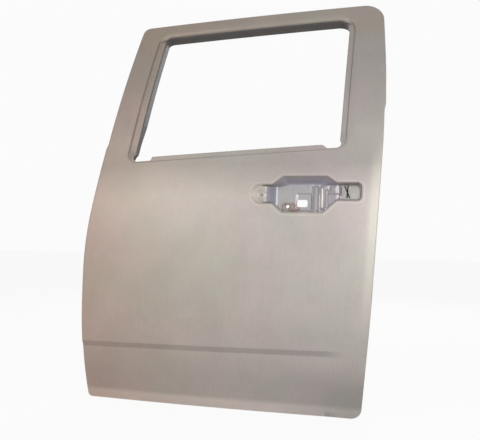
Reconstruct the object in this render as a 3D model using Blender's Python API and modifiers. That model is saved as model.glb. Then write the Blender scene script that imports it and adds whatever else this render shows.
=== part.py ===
"""Rear door shell of a crew-cab vehicle: a pressed steel skin hemmed round a stamped inner panel,
with the reinforcements, beam, glass channels, pads and weld nuts that sit between them.

Metres. +Z is up, the outer face looks toward -Y and the hinge edge is at -X. Every piece is drawn with
the lower hinge corner of the outline at zero, and one empty then carries them all, so that the
world's origin lies on the upper hinge pad.
"""

import math

import bmesh
import bpy
from mathutils import Matrix, Vector

# Sheet and clearances
sheet = 0.0008
plate = 0.0018
seam_gap = 0.0005
weld_gap = 0.0003
overrun = 0.006
weld_distance = 0.00001

# Outer face: the section from sill to roof, and the crown from hinge edge to latch edge
door_width = 0.846
door_height = 1.172
belly_share = 0.2346
belt_share = 0.5973
sill_tuck = 0.053
belly_radius = 1.96
pillar_radius = 1.81
crown_radius = 8.0

# Crease low on the face
crease_share = 0.1472
crease_climb = 0.0145
crease_drop = 0.020
crease_depth = 0.004
crease_end_share = 0.7742
crease_fade = 0.110
crease_steps = (0, 0.5, 1)

# Heights and places that follow from the size of the door
belly_height = belly_share * door_height
belt_height = belt_share * door_height
crease_height = crease_share * door_height
crease_end = crease_end_share * door_width

# Outline of the door, as shares of its width and height, each with the name of its corner radius
foot_radius = 0.012
rear_foot_radius = 0.030
knee_radius = 3.0
hip_radius = 0.8
step_radius = 0.008
shoulder_radius = 2.0
roof_rear_radius = 0.060
roof_front_radius = 0.050
bend_radius = 1.2
outline_shares = (
    ((0, 0), foot_radius, 4),
    ((0.930, 0), rear_foot_radius, 5),
    ((0.958, 0.243), knee_radius, 2),
    ((0.992, 0.636), hip_radius, 2),
    ((0.995, 0.7065), step_radius, 1),
    ((0.9995, 0.7235), step_radius, 1),
    ((1, 0.819), shoulder_radius, 2),
    ((0.992, 1), roof_rear_radius, 6),
    ((0.117, 0.9695), roof_front_radius, 6),
    ((0.053, 0.633), step_radius, 1),
    ((0.048, 0.6255), step_radius, 1),
    ((0, 0.3975), bend_radius, 4),
)
tight_radius = 0.004
longest_run = 0.110

# Hem: the skin's edge folded flat round the flange of the inner panel
hem_width = 0.012
hem_depth = 3 * sheet + 2 * seam_gap
hem_steps = 3

# Window opening: rolled edge, slanted wall, glass-run ledge and return flange; along the top the wall
# and the ledge are one roll
window_shares = (
    (0.1285, 0.584),
    (0.875, 0.614),
    (0.9005, 0.969),
    (0.187, 0.944),
)
belt_corner_radius = 0.030
rear_corner_radius = 0.048
front_corner_radius = 0.042
window_radii = (belt_corner_radius, belt_corner_radius, rear_corner_radius, front_corner_radius)
window_roll = 0.018
roll_drop = 0.0025
wall_slant = 0.003
top_slant = 0.009
top_step = 0.0055
ledge_depth = 0.010
front_ledge = 0.023
rear_ledge = 0.017
top_ledge = 0.014
return_depth = 0.012
pillar_start = 0.050

# Belt: the joggled strip under the window, with a notch at each end
belt_roll = 0.003
belt_joggle = 0.0025
belt_slant = 0.002
strip_height = 0.015
strip_root = 0.004
strip_shares = (0.2270, 0.8156)
strip_front, strip_rear = (share * door_width for share in strip_shares)
notch_ramp = 0.008

# Handle pocket, set out from its middle
pocket_shares = (0.749, 0.5077)
pocket_front = 0.0865
pocket_rear = 0.085
pocket_rise = 0.0485
pocket_fall = 0.0505
pocket_slant = 0.026
front_arm = 0.056
rear_arm = 0.065
front_arm_height = 0.052
rear_arm_height = 0.0475
rear_arm_lift = 0.0065
arm_radius = 0.012
round_end_share = 0.98
pocket_radius = 0.010
pocket_lip = 0.003
lip_drop = 0.0015
pocket_depth = 0.030
boss_depth = 0.004
arm_depth = 0.016
ceiling_slant = 0.022
wall_draft = 0.004
boss_slope = 0.025
arm_slope_start = 0.056
arm_slope = 0.037

# Holes in the pocket
rod_hole = (0.028, 0.020, 0.005)
rod_hole_place = (-0.008, -0.024)
pin_hole_radius = 0.0045
pin_hole_place = (-0.0475, -0.033)
screw_hole_radius = 0.0035
screw_hole_place = (-0.115, -0.003)
arm_window = (0.048, 0.036, 0.008)
arm_window_place = (0.119, 0.0075)
circle_points = 12

# Inner panel
inner_face = 0.105
frame_depth = 0.045
shut_inset = 0.0150
frame_draft = 0.003
flat_draft = 0.0001
hinge_wall = 0.0165
hinge_wall_share = 0.3925
hinge_wall_top = hinge_wall_share * door_height
hinge_wall_fade = 0.060
wall_proud = 0.0002
flange_bend = 0.0012
window_drop = 0.010
belt_below = 0.006
belt_return = 0.009
belt_flange = 0.002
recess_width = 0.009
recess_slant = 0.004
recess_depth = 0.004

# Openings of the inner panel: place and size as shares of the door, corner radius in metres
opening_radius = 0.030
opening_shares = (
    ((0.285, 0.335), (0.290, 0.190)),
    ((0.700, 0.385), (0.330, 0.270)),
    ((0.700, 0.150), (0.230, 0.080)),
)
speaker_radius = 0.072
speaker_shares = (0.285, 0.140)
speaker_points = 28
slot_round_share = 0.43
slot_shares = (
    ((0.475, 0.300), (0.030, 0.075)),
    ((0.475, 0.160), (0.030, 0.060)),
    ((0.285, 0.520), (0.130, 0.020)),
    ((0.640, 0.557), (0.130, 0.018)),
)

# Stations where the curved sheets are creased
station_pitch = 0.060
sill_pitch = 0.035
cross_pitch = 0.130

# Hinges and check link, on the hinge wall: the upper hinge keeps clear of the wall's bend, and the link
# lies midway between the hinges
lower_hinge_share = 0.1195
hinge_clearance = 0.0182
hinge_plate = (0.052, 0.090, 0.010)
(bend_x, bend_z), (shoulder_x, shoulder_z) = outline_shares[-1][0], outline_shares[-2][0]
bend_turn = math.atan2((shoulder_x - bend_x) * door_width, (shoulder_z - bend_z) * door_height)
bend_start = bend_z * door_height - bend_radius * math.tan(bend_turn / 2)
upright_top = bend_start + math.sqrt(2 * bend_radius * (hinge_wall - shut_inset))
upper_hinge_height = upright_top - hinge_clearance - hinge_plate[1] / 2
hinge_heights = (lower_hinge_share * door_height, upper_hinge_height)
hinge_setback = 0.076
bolt_spacing = 0.048
bolt_hole_radius = 0.0055
nut_sides = 6
nut_width = 0.017
nut_height = 0.008
nut_bore = 0.0042
check_height = sum(hinge_heights) / 2
check_plate = (0.052, 0.066, 0.008)
check_slot = (0.014, 0.026, 0.004)
check_bolt_spacing = 0.052
check_hole_radius = 0.0045
check_nut_width = 0.013
check_nut_height = 0.0065
check_nut_bore = 0.0032

# Latch, on the rear wall
latch_share = 0.4437
latch_height = latch_share * door_height
latch_setback = 0.066
latch_plate = (0.064, 0.112, 0.010)
latch_mouth = (0.034, 0.046, 0.006)
latch_screw_radius = 0.0045
latch_screw_places = ((0.020, 0.038), (-0.020, 0.040), (0.008, -0.042))

# Impact beam, its brackets and the mastic pads between it and the skin
beam_radius = 0.016
beam_wall = 0.0022
beam_setback = 0.029
beam_shares = (0.2773, 0.3114)
beam_front_height, beam_rear_height = (share * door_height for share in beam_shares)
beam_sides = 24
beam_end_gap = 0.010
bracket_reach = 0.058
bracket_height = 0.048
bracket_leg = 0.026
pad_radius = 0.014
pad_points = 16
pad_shares = (0.30, 0.50, 0.70)

# Belt reinforcements: depth of the hat, and heights of its rows from the belt line
outer_hat = 0.010
outer_rows = (0.0115, 0.0035, -0.006, -0.034, -0.040, -0.050)
outer_end_shares = (0.2340, 0.8085)
outer_belt_ends = tuple(share * door_width for share in outer_end_shares)
inner_hat = 0.014
inner_rows = (-0.0125, -0.020, -0.026, -0.040, -0.045, -0.052)
inner_end_shares = (0.1773, 0.8274)
inner_belt_ends = tuple(share * door_width for share in inner_end_shares)

# Handle reinforcement behind the rear arm of the pocket, with its crossed slit
backer = (0.068, 0.070, 0.010)
backer_place = (0.132, 0.0075)
slit_width = 0.0034
slit_length = 0.038
slit_place = (-0.0185, 0.0)
slit_spreads = (0.003, -0.0156)

# Glass channels and their brackets
channel_width = 0.016
channel_depth = 0.018
channel_share = 0.3413
channel_drop = channel_share * door_height
channel_below_belt = 0.030
channel_top_depth = 0.080
channel_foot_depth = 0.062
front_channel_share = 0.180
rear_channel_share = 0.852
tie_shares = (0.4778, 0.5444)
front_tie_height, rear_tie_height = (share * door_height for share in tie_shares)
tie_height = 0.030
tie_foot = 0.028
tie_lap = 0.012

# Drain slots in the bottom wall
drain_slot = (0.040, 0.010, 0.003)
drain_shares = (0.20, 0.50, 0.78)
drain_setback = 0.086

# Finish
skin_colour = (0.40, 0.365, 0.335)
panel_colour = (0.33, 0.31, 0.29)
plate_colour = (0.29, 0.28, 0.27)
beam_colour = (0.16, 0.16, 0.165)
channel_colour = (0.24, 0.235, 0.23)
nut_colour = (0.42, 0.40, 0.33)
pad_colour = (0.10, 0.095, 0.09)


def blend(low, high, share):
    return low + (high - low) * share


def ease(share):
    held = min(max(share, 0.0), 1.0)
    return held * held * (3 - 2 * held)


def crease_line(x):
    return crease_height + crease_climb * x / door_width


def skin_depth(x, z):
    """How far inward the outer face lies at a place of the plan."""
    across = (x - door_width / 2) ** 2 / (2 * crown_radius)
    step = crease_depth * ease((crease_line(x) - z) / crease_drop)
    step *= 1 - ease((x - crease_end) / crease_fade)
    if z < belly_height:
        return across + step + sill_tuck * ((belly_height - z) / belly_height) ** 2
    lower = min(z, belt_height) - belly_height
    upper = max(z - belt_height, 0)
    lean = (belt_height - belly_height) / belly_radius
    return (
        across
        + lower**2 / (2 * belly_radius)
        + upper * lean
        + upper**2 / (2 * pillar_radius)
    )


def inner_depth(x, z):
    """How far inward the cabin face of the inner panel lies: flat below, parallel to the skin above."""
    return max(inner_face, skin_depth(x, z) + frame_depth)


def at_share(share):
    return Vector((share[0] * door_width, share[1] * door_height))


def rounded_loop(corners):
    """Plan points of a closed outline, anticlockwise; each corner is a place, a radius and steps."""
    points = []
    for index, (corner, radius, steps) in enumerate(corners):
        back = (corners[index - 1][0] - corner).normalized()
        ahead = (corners[(index + 1) % len(corners)][0] - corner).normalized()
        half = back.angle(ahead) / 2
        centre = corner + (back + ahead).normalized() * radius / math.sin(half)
        start = corner + back * radius / math.tan(half) - centre
        turn = math.pi - 2 * half
        if back.cross(ahead) > 0:
            turn = -turn
        for step in range(steps + 1):
            points.append(centre + Matrix.Rotation(turn * step / steps, 2) @ start)
    return points


def box_loop(centre, length, height, radius, steps=3):
    half = Vector((length / 2, height / 2))
    signs = ((-1, -1), (1, -1), (1, 1), (-1, 1))
    corners = [(centre + Vector((half.x * u, half.y * v)), radius, steps) for u, v in signs]
    return rounded_loop(corners)


def circle_loop(centre, radius, count=circle_points):
    turns = [2 * math.pi * index / count for index in range(count)]
    return [centre + Vector((math.cos(turn), math.sin(turn))) * radius for turn in turns]


def offset_loop(loop, inset):
    """The loop moved toward its inside, by one distance or by one for each point."""
    insets = inset if isinstance(inset, list) else [inset] * len(loop)
    moved = []
    for index, point in enumerate(loop):
        before = (point - loop[index - 1]).normalized()
        after = (loop[(index + 1) % len(loop)] - point).normalized()
        inward = Vector((-before.y - after.y, before.x + after.x)).normalized()
        across = Vector((-before.y, before.x))
        moved.append(point + inward * insets[index] / inward.dot(across))
    return moved


def run_counts(loop, longest):
    """How many lengths each run of the loop is divided into."""
    ahead = loop[1:] + loop[:1]
    return [max(1, math.ceil((end - start).length / longest)) for start, end in zip(loop, ahead)]


def divided_loop(loop, counts):
    points = []
    for index, count in enumerate(counts):
        ahead = loop[(index + 1) % len(loop)]
        points.extend(loop[index].lerp(ahead, step / count) for step in range(count))
    return points


def with_places(loop, places):
    """The loop with a point added wherever its lower edge, which runs rearward, passes one of the places."""
    points = []
    for index, point in enumerate(loop):
        ahead = loop[(index + 1) % len(loop)]
        points.append(point)
        for place in places:
            if point.x < place < ahead.x:
                points.append(point.lerp(ahead, (place - point.x) / (ahead.x - point.x)))
    return points


class Blank:
    """A sheet drawn flat in plan, whose points remember how they are pressed: rise is added to the depth,
    and follow goes from 0, the outer face, to 1, the cabin face."""

    def __init__(self):
        self.mesh = bmesh.new()
        self.rise = self.mesh.verts.layers.float.new("rise")
        self.follow = self.mesh.verts.layers.float.new("follow")
        self.filling = self.mesh.edges.layers.int.new("filling")

    def press(self, ring, rise, follow):
        rises = rise if isinstance(rise, list) else [rise] * len(ring)
        follows = follow if isinstance(follow, list) else [follow] * len(ring)
        for index, vert in enumerate(ring):
            vert[self.rise] = rises[index]
            vert[self.follow] = follows[index]
        return ring

    def ring(self, loop, rise=0.0, follow=0.0):
        ring = [self.mesh.verts.new((point.x, 0, point.y)) for point in loop]
        for index in range(len(ring)):
            self.mesh.edges.new((ring[index - 1], ring[index]))
        return self.press(ring, rise, follow)

    def edges(self, ring):
        return [self.mesh.edges.get((ring[index - 1], ring[index])) for index in range(len(ring))]

    def extend(self, ring, loop, rise=0.0, follow=0.0):
        made = bmesh.ops.extrude_edge_only(self.mesh, edges=self.edges(ring))["geom"]
        fresh = {item for item in made if isinstance(item, bmesh.types.BMVert)}
        further = []
        for vert, point in zip(ring, loop):
            others = [edge.other_vert(vert) for edge in vert.link_edges]
            partner = next(other for other in others if other in fresh)
            partner.co = (point.x, 0, point.y)
            further.append(partner)
        return self.press(further, rise, follow)

    def fill(self, rings):
        """One face region between the rings; returns its faces."""
        edges = [edge for ring in rings for edge in self.edges(ring)]
        made = bmesh.ops.triangle_fill(self.mesh, use_beauty=True, edges=edges, normal=(0, -1, 0))["geom"]
        for item in made:
            if isinstance(item, bmesh.types.BMEdge) and item not in edges:
                item[self.filling] = 1
        return [item for item in made if isinstance(item, bmesh.types.BMFace)]

    def cut(self, place, normal, faces=None):
        """Creases the sheet, or only the given faces, along one line; returns the faces' pieces."""
        faces = list(self.mesh.faces) if faces is None else faces
        verts = {vert for face in faces for vert in face.verts}
        edges = {edge for face in faces for edge in face.edges}
        made = bmesh.ops.bisect_plane(
            self.mesh,
            geom=[*verts, *edges, *faces],
            dist=weld_distance,
            plane_co=place,
            plane_no=normal,
        )["geom"]
        return [item for item in made if isinstance(item, bmesh.types.BMFace)]

    def cut_stations(self):
        for height in station_heights():
            self.cut((0, 0, height), (0, 0, 1))
        for place in cross_stations():
            self.cut((place, 0, 0), (1, 0, 0))
        for share in crease_steps:
            self.cut((0, 0, crease_height - crease_drop * share), (-crease_climb / door_width, 0, 1))
        for share in crease_steps:
            low = [face for face in self.mesh.faces if face.calc_center_median().z < crease_height]
            self.cut((crease_end + crease_fade * share, 0, 0), (1, 0, 0), low)

    def perforate(self, loops):
        """Cuts holes, given by points in space, out of the flat wall that they lie on."""
        hit = {face for face in self.mesh.faces for loop in loops if meets(face, loop)}
        edges = [edge for edge in self.mesh.edges if len(hit.intersection(edge.link_faces)) == 1]
        bmesh.ops.delete(self.mesh, geom=list(hit), context="FACES_ONLY")
        for loop in loops:
            ring = [self.mesh.verts.new(point) for point in loop]
            edges.extend(self.mesh.edges.new((ring[index - 1], ring[index])) for index in range(len(ring)))
        first = loops[0]
        normal = (first[1] - first[0]).cross(first[2] - first[1]).normalized()
        bmesh.ops.triangle_fill(self.mesh, use_beauty=True, edges=edges, normal=normal)

    def drop_filling(self):
        filling = [edge for edge in self.mesh.edges if edge[self.filling]]
        bmesh.ops.dissolve_edges(self.mesh, edges=filling, use_verts=False, use_face_split=False)

    def form(self):
        """Presses the sheet; the hinge wall, which is drawn with a hair of draft, is pressed square."""
        for vert in self.mesh.verts:
            x, z = vert.co.x, vert.co.z
            depth = blend(skin_depth(x, z), inner_depth(x, z), vert[self.follow])
            vert.co.y = depth + vert[self.rise]
            if hinge_wall < x <= hinge_wall + flat_draft + weld_distance:
                vert.co.x = hinge_wall

    def finish(self, name, material, holes=()):
        """The pressed sheet as an object, with holes in its walls, thickened away from the outer face."""
        self.cut_stations()
        self.drop_filling()
        self.form()
        self.mesh.normal_update()
        for loops in holes:
            self.perforate(loops)
        bmesh.ops.recalc_face_normals(self.mesh, faces=self.mesh.faces)
        largest = max(self.mesh.faces, key=lambda face: face.calc_area())
        if largest.normal.y > 0:
            bmesh.ops.reverse_faces(self.mesh, faces=self.mesh.faces)
        piece = new_object(name, self.mesh, material)
        thicken(piece, sheet)
        return piece


def stations(low, high, longest):
    """Places from low up to, but not at, high."""
    count = math.ceil((high - low) / longest)
    return [blend(low, high, index / count) for index in range(count)]


def station_heights():
    below = stations(0, crease_height - crease_drop, sill_pitch)[1:]
    above = stations(crease_height + crease_climb, belly_height, sill_pitch)[1:]
    return [*below, *above, *stations(belly_height, door_height, station_pitch)]


def cross_stations():
    return stations(0, door_width, cross_pitch)[1:]


def meets(face, loop):
    """Whether the face, one piece of a flat wall, and the loop on such a wall reach over each other."""
    corners = [vert.co for vert in face.verts]
    for axis in range(3):
        near = max(min(corner[axis] for corner in corners), min(point[axis] for point in loop))
        far = min(max(corner[axis] for corner in corners), max(point[axis] for point in loop))
        if near > far + flat_draft:
            return False
    middle = sum(loop, Vector()) / len(loop)
    return abs(face.normal.dot(middle - corners[0])) < seam_gap


def new_material(name, colour, roughness, metallic):
    material = bpy.data.materials.new(name)
    material.use_nodes = True
    shader = material.node_tree.nodes["Principled BSDF"]
    shader.inputs["Base Color"].default_value = (*colour, 1)
    shader.inputs["Roughness"].default_value = roughness
    shader.inputs["Metallic"].default_value = metallic
    return material


def new_object(name, mesh, material):
    data = bpy.data.meshes.new(name)
    mesh.to_mesh(data)
    mesh.free()
    data.materials.append(material)
    piece = bpy.data.objects.new(name, data)
    pieces.objects.link(piece)
    piece.parent = hanger
    return piece


def thicken(piece, thickness):
    wall = piece.modifiers.new("wall", "SOLIDIFY")
    wall.thickness = thickness
    wall.offset = -1
    wall.use_even_offset = True


def level_hinge_wall(piece):
    """Fixes the sheet's thickness and levels the hinge wall's outer side, which its bends leave a hair proud."""
    graph = bpy.context.evaluated_depsgraph_get()
    thick = bpy.data.meshes.new_from_object(piece.evaluated_get(graph))
    piece.modifiers.clear()
    piece.data = thick
    seat = hinge_wall - sheet
    for vert in thick.vertices:
        if seat - wall_proud < vert.co.x < seat + weld_distance:
            vert.co.x = seat


def door_outline(inset=0.0):
    """The outline of the door, or a loop inside it that has as many points."""
    places = [at_share(share) for share, _, _ in outline_shares]
    moved = offset_loop(places, inset)
    corners = []
    for index, (_, radius, steps) in enumerate(outline_shares):
        before = places[index] - places[index - 1]
        ahead = places[(index + 1) % len(places)] - places[index]
        tightened = radius - inset if before.cross(ahead) > 0 else radius + inset
        corners.append((moved[index], max(tightened, tight_radius), steps))
    drawn = [(place, radius, steps) for place, (_, radius, steps) in zip(places, outline_shares)]
    counts = run_counts(rounded_loop(drawn), longest_run)
    return divided_loop(rounded_loop(corners), counts)


def window_outline():
    corners = [(at_share(share), radius, 6) for share, radius in zip(window_shares, window_radii)]
    loop = rounded_loop(corners)
    loop = divided_loop(loop, run_counts(loop, longest_run))
    ramps = (strip_front - notch_ramp, strip_front, strip_rear, strip_rear + notch_ramp)
    return with_places(loop, ramps)


def belt_line(x):
    front, rear = at_share(window_shares[0]), at_share(window_shares[1])
    return blend(front.y, rear.y, (x - front.x) / (rear.x - front.x))


def pillar_share(point):
    """0 along the belt, 1 on the pillars and the top rail."""
    return ease((point.y - belt_line(point.x)) / pillar_start)


def strip_share(x):
    """1 along the belt strip, 0 past the notches at its ends."""
    front = (x - strip_front + notch_ramp) / notch_ramp
    rear = (strip_rear + notch_ramp - x) / notch_ramp
    return ease(min(front, rear))


def window_runs(window):
    """Which way the window's edge runs at each of its points."""
    behind, ahead = window[-1:] + window[:-1], window[1:] + window[:1]
    return [(end - start).normalized() for start, end in zip(behind, ahead)]


def ledge_widths(window):
    """How far the ledge reaches into the opening, point by point."""
    widths = []
    for point, run in zip(window, window_runs(window)):
        side = rear_ledge if run.y > 0 else front_ledge
        pillar = blend(top_ledge, side, run.y**2)
        strip = blend(strip_root, strip_height, strip_share(point.x))
        widths.append(blend(strip, pillar, pillar_share(point)))
    return widths


def window_rings(blank):
    """The rolled edge, slanted wall, ledge and return flange round the window; returns the face's ring."""
    window = window_outline()
    pillars = [pillar_share(point) for point in window]
    tops = [share * max(-run.x, 0) ** 2 for share, run in zip(pillars, window_runs(window))]
    rolls = [-blend(belt_roll, window_roll, share) for share in pillars]
    slants = [blend(belt_slant, wall_slant, share) for share in pillars]
    slants = [blend(slant, top_slant, top) for slant, top in zip(slants, tops)]
    depths = [blend(belt_joggle, ledge_depth, share) for share in pillars]
    steps = [blend(depth, top_step, top) for depth, top in zip(depths, tops)]
    returns = [blend(belt_joggle + sheet, ledge_depth + return_depth, share) for share in pillars]
    widths = ledge_widths(window)
    face = blank.ring(offset_loop(window, rolls))
    edge = blank.extend(face, window, [roll_drop * share for share in pillars])
    foot = blank.extend(edge, offset_loop(window, slants), steps)
    ledge = blank.extend(foot, offset_loop(window, widths), depths)
    ends = [width + sheet / 2 for width in widths]
    blank.extend(ledge, offset_loop(window, ends), returns)
    return face


def pocket_middle():
    return at_share(pocket_shares)


def pocket_corners(inset, ceiling, tightening):
    """Corners of the handle pocket, moved in by an inset, and by more under its ceiling."""
    middle = pocket_middle()
    front_half = front_arm_height / 2 - inset
    rear_half = rear_arm_height / 2 - inset
    front, rear = -pocket_front, pocket_rear
    top, bottom = pocket_rise - inset - ceiling, -pocket_fall + inset
    reach = pocket_slant - ceiling
    places = (
        ((front - front_arm + inset, -front_half), front_half * round_end_share, 4),
        ((front, -front_half), pocket_radius, 2),
        ((front + pocket_slant, bottom), pocket_radius, 2),
        ((rear - pocket_slant - pocket_radius, bottom), pocket_radius, 2),
        ((rear, rear_arm_lift - rear_half), pocket_radius, 2),
        ((rear + rear_arm - inset, rear_arm_lift - rear_half), arm_radius - tightening, 3),
        ((rear + rear_arm - inset, rear_arm_lift + rear_half), arm_radius - tightening, 3),
        ((rear, rear_arm_lift + rear_half), pocket_radius, 2),
        ((rear - pocket_slant - ceiling, top), pocket_radius, 2),
        ((front + pocket_slant + ceiling, top), pocket_radius, 2),
        ((front, front_half), pocket_radius, 2),
        ((front - front_arm + inset, front_half), front_half * round_end_share, 4),
    )
    return [(middle + Vector(place), radius, steps) for place, radius, steps in places]


def pocket_floor(x):
    """Depth of the pocket's floor: shallow under the boss, deep in the middle, half deep in the rear arm."""
    along = x - pocket_middle().x
    down = (along + pocket_front) / boss_slope
    up = (along - arm_slope_start) / arm_slope
    fallen = blend(boss_depth, pocket_depth, min(max(down, 0.0), 1.0))
    return blend(fallen, arm_depth, min(max(up, 0.0), 1.0))


def pocket_rings(blank):
    """The drawn handle pocket with its floor and holes; returns the face's ring."""
    middle = pocket_middle()
    mouth = rounded_loop(pocket_corners(0, 0, 0))
    floor_loop = rounded_loop(pocket_corners(wall_draft, ceiling_slant - wall_draft, wall_draft))
    face = blank.ring(offset_loop(mouth, -pocket_lip))
    lip = blank.extend(face, mouth, lip_drop)
    floor = blank.extend(lip, floor_loop, [pocket_floor(point.x) for point in floor_loop])
    holes = (
        box_loop(middle + Vector(rod_hole_place), *rod_hole),
        circle_loop(middle + Vector(pin_hole_place), pin_hole_radius),
        circle_loop(middle + Vector(screw_hole_place), screw_hole_radius),
        box_loop(middle + Vector(arm_window_place), *arm_window),
    )
    rings = [blank.ring(loop) for loop in holes]
    faces = blank.fill([floor, *rings])
    bends = (-pocket_front, -pocket_front + boss_slope, arm_slope_start, arm_slope_start + arm_slope)
    for bend in bends:
        faces = blank.cut((middle.x + bend, 0, 0), (1, 0, 0), faces)
    for vert in {vert for face in faces for vert in face.verts}:
        vert[blank.rise] = pocket_floor(vert.co.x)
    return face


def outer_skin():
    blank = Blank()
    bend = hem_depth / 2
    ring = face = blank.ring(door_outline(bend))
    for step in range(1, hem_steps + 1):
        turn = math.pi * step / hem_steps
        inset = bend * (1 - math.sin(turn))
        ring = blank.extend(ring, door_outline(inset), bend * (1 - math.cos(turn)))
    blank.extend(ring, door_outline(hem_width), hem_depth)
    blank.fill([face, window_rings(blank), pocket_rings(blank)])
    return blank.finish("outer_skin", new_material("skin steel", skin_colour, 0.42, 0.6))


def shut_loop(draft):
    """The walls of the inner panel in plan: upright beside the hinges, and with draft round the window."""
    loop = []
    near, far = door_outline(shut_inset), door_outline(shut_inset + frame_draft)
    for point, drafted in zip(near, far):
        share = ease((point.y - belt_height) / pillar_start)
        hold = 1 - ease((point.y - hinge_wall_top) / hinge_wall_fade)
        moved = point.lerp(drafted, draft * blend(flat_draft / frame_draft, 1, share))
        wall = max(moved.x, hinge_wall + draft * flat_draft)
        loop.append(Vector((blend(moved.x, wall, hold), moved.y)))
    return loop


def inner_window_rings(blank):
    window = window_outline()
    pillars = [pillar_share(point) for point in window]
    widths = ledge_widths(window)
    lap = 2 * sheet + seam_gap
    behind = [blend(-belt_below, width - lap, share) for width, share in zip(widths, pillars)]
    wall = offset_loop(window, behind)
    face_loop = []
    for point, run, share in zip(wall, window_runs(wall), pillars):
        drop = window_drop * max(-run.x, 0) * share
        back = belt_flange * (1 - share)
        face_loop.append(point - Vector((0, drop + back)))
    face = blank.ring(face_loop, 0, 1)
    follows = [1 - share for share in pillars]
    past = [blend(-belt_return / 2, ledge_depth + return_depth + lap, share) for share in pillars]
    start = [blend(-belt_return, ledge_depth + lap, share) for share in pillars]
    bend = blank.extend(face, wall, past, follows)
    blank.extend(bend, wall, start, follows)
    return face


def recessed_ring(blank, loop):
    """A hole whose rim is pressed toward the skin; returns the face's ring."""
    face = blank.ring(offset_loop(loop, -recess_width), 0, 1)
    step = blank.extend(face, offset_loop(loop, recess_slant - recess_width), -recess_depth, 1)
    blank.extend(step, loop, -recess_depth, 1)
    return face


def inner_panel():
    blank = Blank()
    flange = blank.ring(door_outline(hem_depth / 2 + seam_gap), sheet + seam_gap)
    foot = shut_loop(0)
    bend = blank.extend(flange, offset_loop(foot, -flange_bend), sheet + seam_gap)
    wall = blank.extend(bend, foot, sheet + seam_gap + flange_bend)
    face = blank.extend(wall, shut_loop(1), 0, 1)
    rings = [face, inner_window_rings(blank)]
    for place, size in opening_shares:
        reach = at_share(size)
        rings.append(recessed_ring(blank, box_loop(at_share(place), reach.x, reach.y, opening_radius)))
    speaker = circle_loop(at_share(speaker_shares), speaker_radius, speaker_points)
    rings.append(recessed_ring(blank, speaker))
    for place, size in slot_shares:
        reach = at_share(size)
        slot = box_loop(at_share(place), reach.x, reach.y, slot_round_share * min(reach))
        rings.append(blank.ring(slot, 0, 1))
    blank.fill(rings)
    panel = blank.finish("inner_panel", new_material("panel steel", panel_colour, 0.5, 0.6), wall_holes())
    level_hinge_wall(panel)
    return panel


def hang(piece, place, turn=Matrix.Identity(3)):
    piece.location = place
    piece.rotation_euler = turn.to_euler()


def flat_mesh(loops, thickness):
    """A flat plate in the XY plane from its outline and holes, centred on the plane."""
    outline = bpy.data.curves.new("outline", "CURVE")
    outline.dimensions = "2D"
    outline.fill_mode = "BOTH"
    outline.extrude = thickness / 2
    for loop in loops:
        spline = outline.splines.new("POLY")
        spline.points.add(len(loop) - 1)
        for point, place in zip(spline.points, loop):
            point.co = (place.x, place.y, 0, 1)
        spline.use_cyclic_u = True
    guide = bpy.data.objects.new("guide", outline)
    pieces.objects.link(guide)
    bpy.context.view_layer.update()
    data = bpy.data.meshes.new_from_object(guide.evaluated_get(bpy.context.evaluated_depsgraph_get()))
    bpy.data.objects.remove(guide)
    mesh = bmesh.new()
    mesh.from_mesh(data)
    bmesh.ops.remove_doubles(mesh, verts=mesh.verts, dist=weld_distance)
    bmesh.ops.recalc_face_normals(mesh, faces=mesh.faces)
    return mesh


def flat_piece(name, loops, thickness, material):
    return new_object(name, flat_mesh(loops, thickness), material)


def folded_piece(name, section, length, thickness, material):
    """An open section in the XY plane drawn out along Z and thickened to the right of its run."""
    mesh = bmesh.new()
    verts = [mesh.verts.new((*point, -length / 2)) for point in section]
    edges = [mesh.edges.new(pair) for pair in zip(verts, verts[1:])]
    made = bmesh.ops.extrude_edge_only(mesh, edges=edges)["geom"]
    drawn = [item for item in made if isinstance(item, bmesh.types.BMVert)]
    bmesh.ops.translate(mesh, verts=drawn, vec=(0, 0, length))
    bmesh.ops.recalc_face_normals(mesh, faces=mesh.faces)
    run = Vector(section[1]) - Vector(section[0])
    first = min(mesh.faces, key=lambda face: (face.calc_center_median().xy - Vector(section[0])).length)
    if run.cross(first.normal.xy) < 0:
        bmesh.ops.reverse_faces(mesh, faces=mesh.faces)
    piece = new_object(name, mesh, material)
    thicken(piece, thickness)
    return piece


def cut_slot(piece, name, mesh, place, turn):
    data = bpy.data.meshes.new(name)
    mesh.to_mesh(data)
    mesh.free()
    cutter = bpy.data.objects.new(name, data)
    cutters.objects.link(cutter)
    cutter.display_type = "WIRE"
    cutter.hide_render = True
    cutter.parent = hanger
    hang(cutter, place, turn)
    slot = piece.modifiers.new(name, "BOOLEAN")
    slot.operation = "DIFFERENCE"
    slot.solver = "EXACT"
    slot.object = cutter


def rear_lean():
    """Lean of the straight run of the rear wall, from upright toward the rear."""
    knee, hip = at_share(outline_shares[2][0]), at_share(outline_shares[3][0])
    return math.atan2(hip.x - knee.x, hip.y - knee.y)


def rear_wall(height):
    """Plan place of the cavity face of the rear wall at a height on its straight run."""
    knee, hip = at_share(outline_shares[2][0]), at_share(outline_shares[3][0])
    along = (height - knee.y) / (hip.y - knee.y)
    return blend(knee.x, hip.x, along) - shut_inset / math.cos(rear_lean())


def wall_turn(lean=0.0):
    """The turn of a plate from the XY plane onto a wall: its Y up the wall and its Z rearward."""
    upright = Matrix.Rotation(math.pi / 2, 3, "Z") @ Matrix.Rotation(math.pi / 2, 3, "X")
    return Matrix.Rotation(lean, 3, "Y") @ upright


def pair_places(spacing):
    return [Vector((0, side * spacing / 2)) for side in (-1, 1)]


def hinge_holes():
    return [circle_loop(bolt, bolt_hole_radius) for bolt in pair_places(bolt_spacing)]


def check_holes():
    slot = box_loop(Vector((0, 0)), *check_slot)
    return [slot, *(circle_loop(bolt, check_hole_radius) for bolt in pair_places(check_bolt_spacing))]


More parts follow.
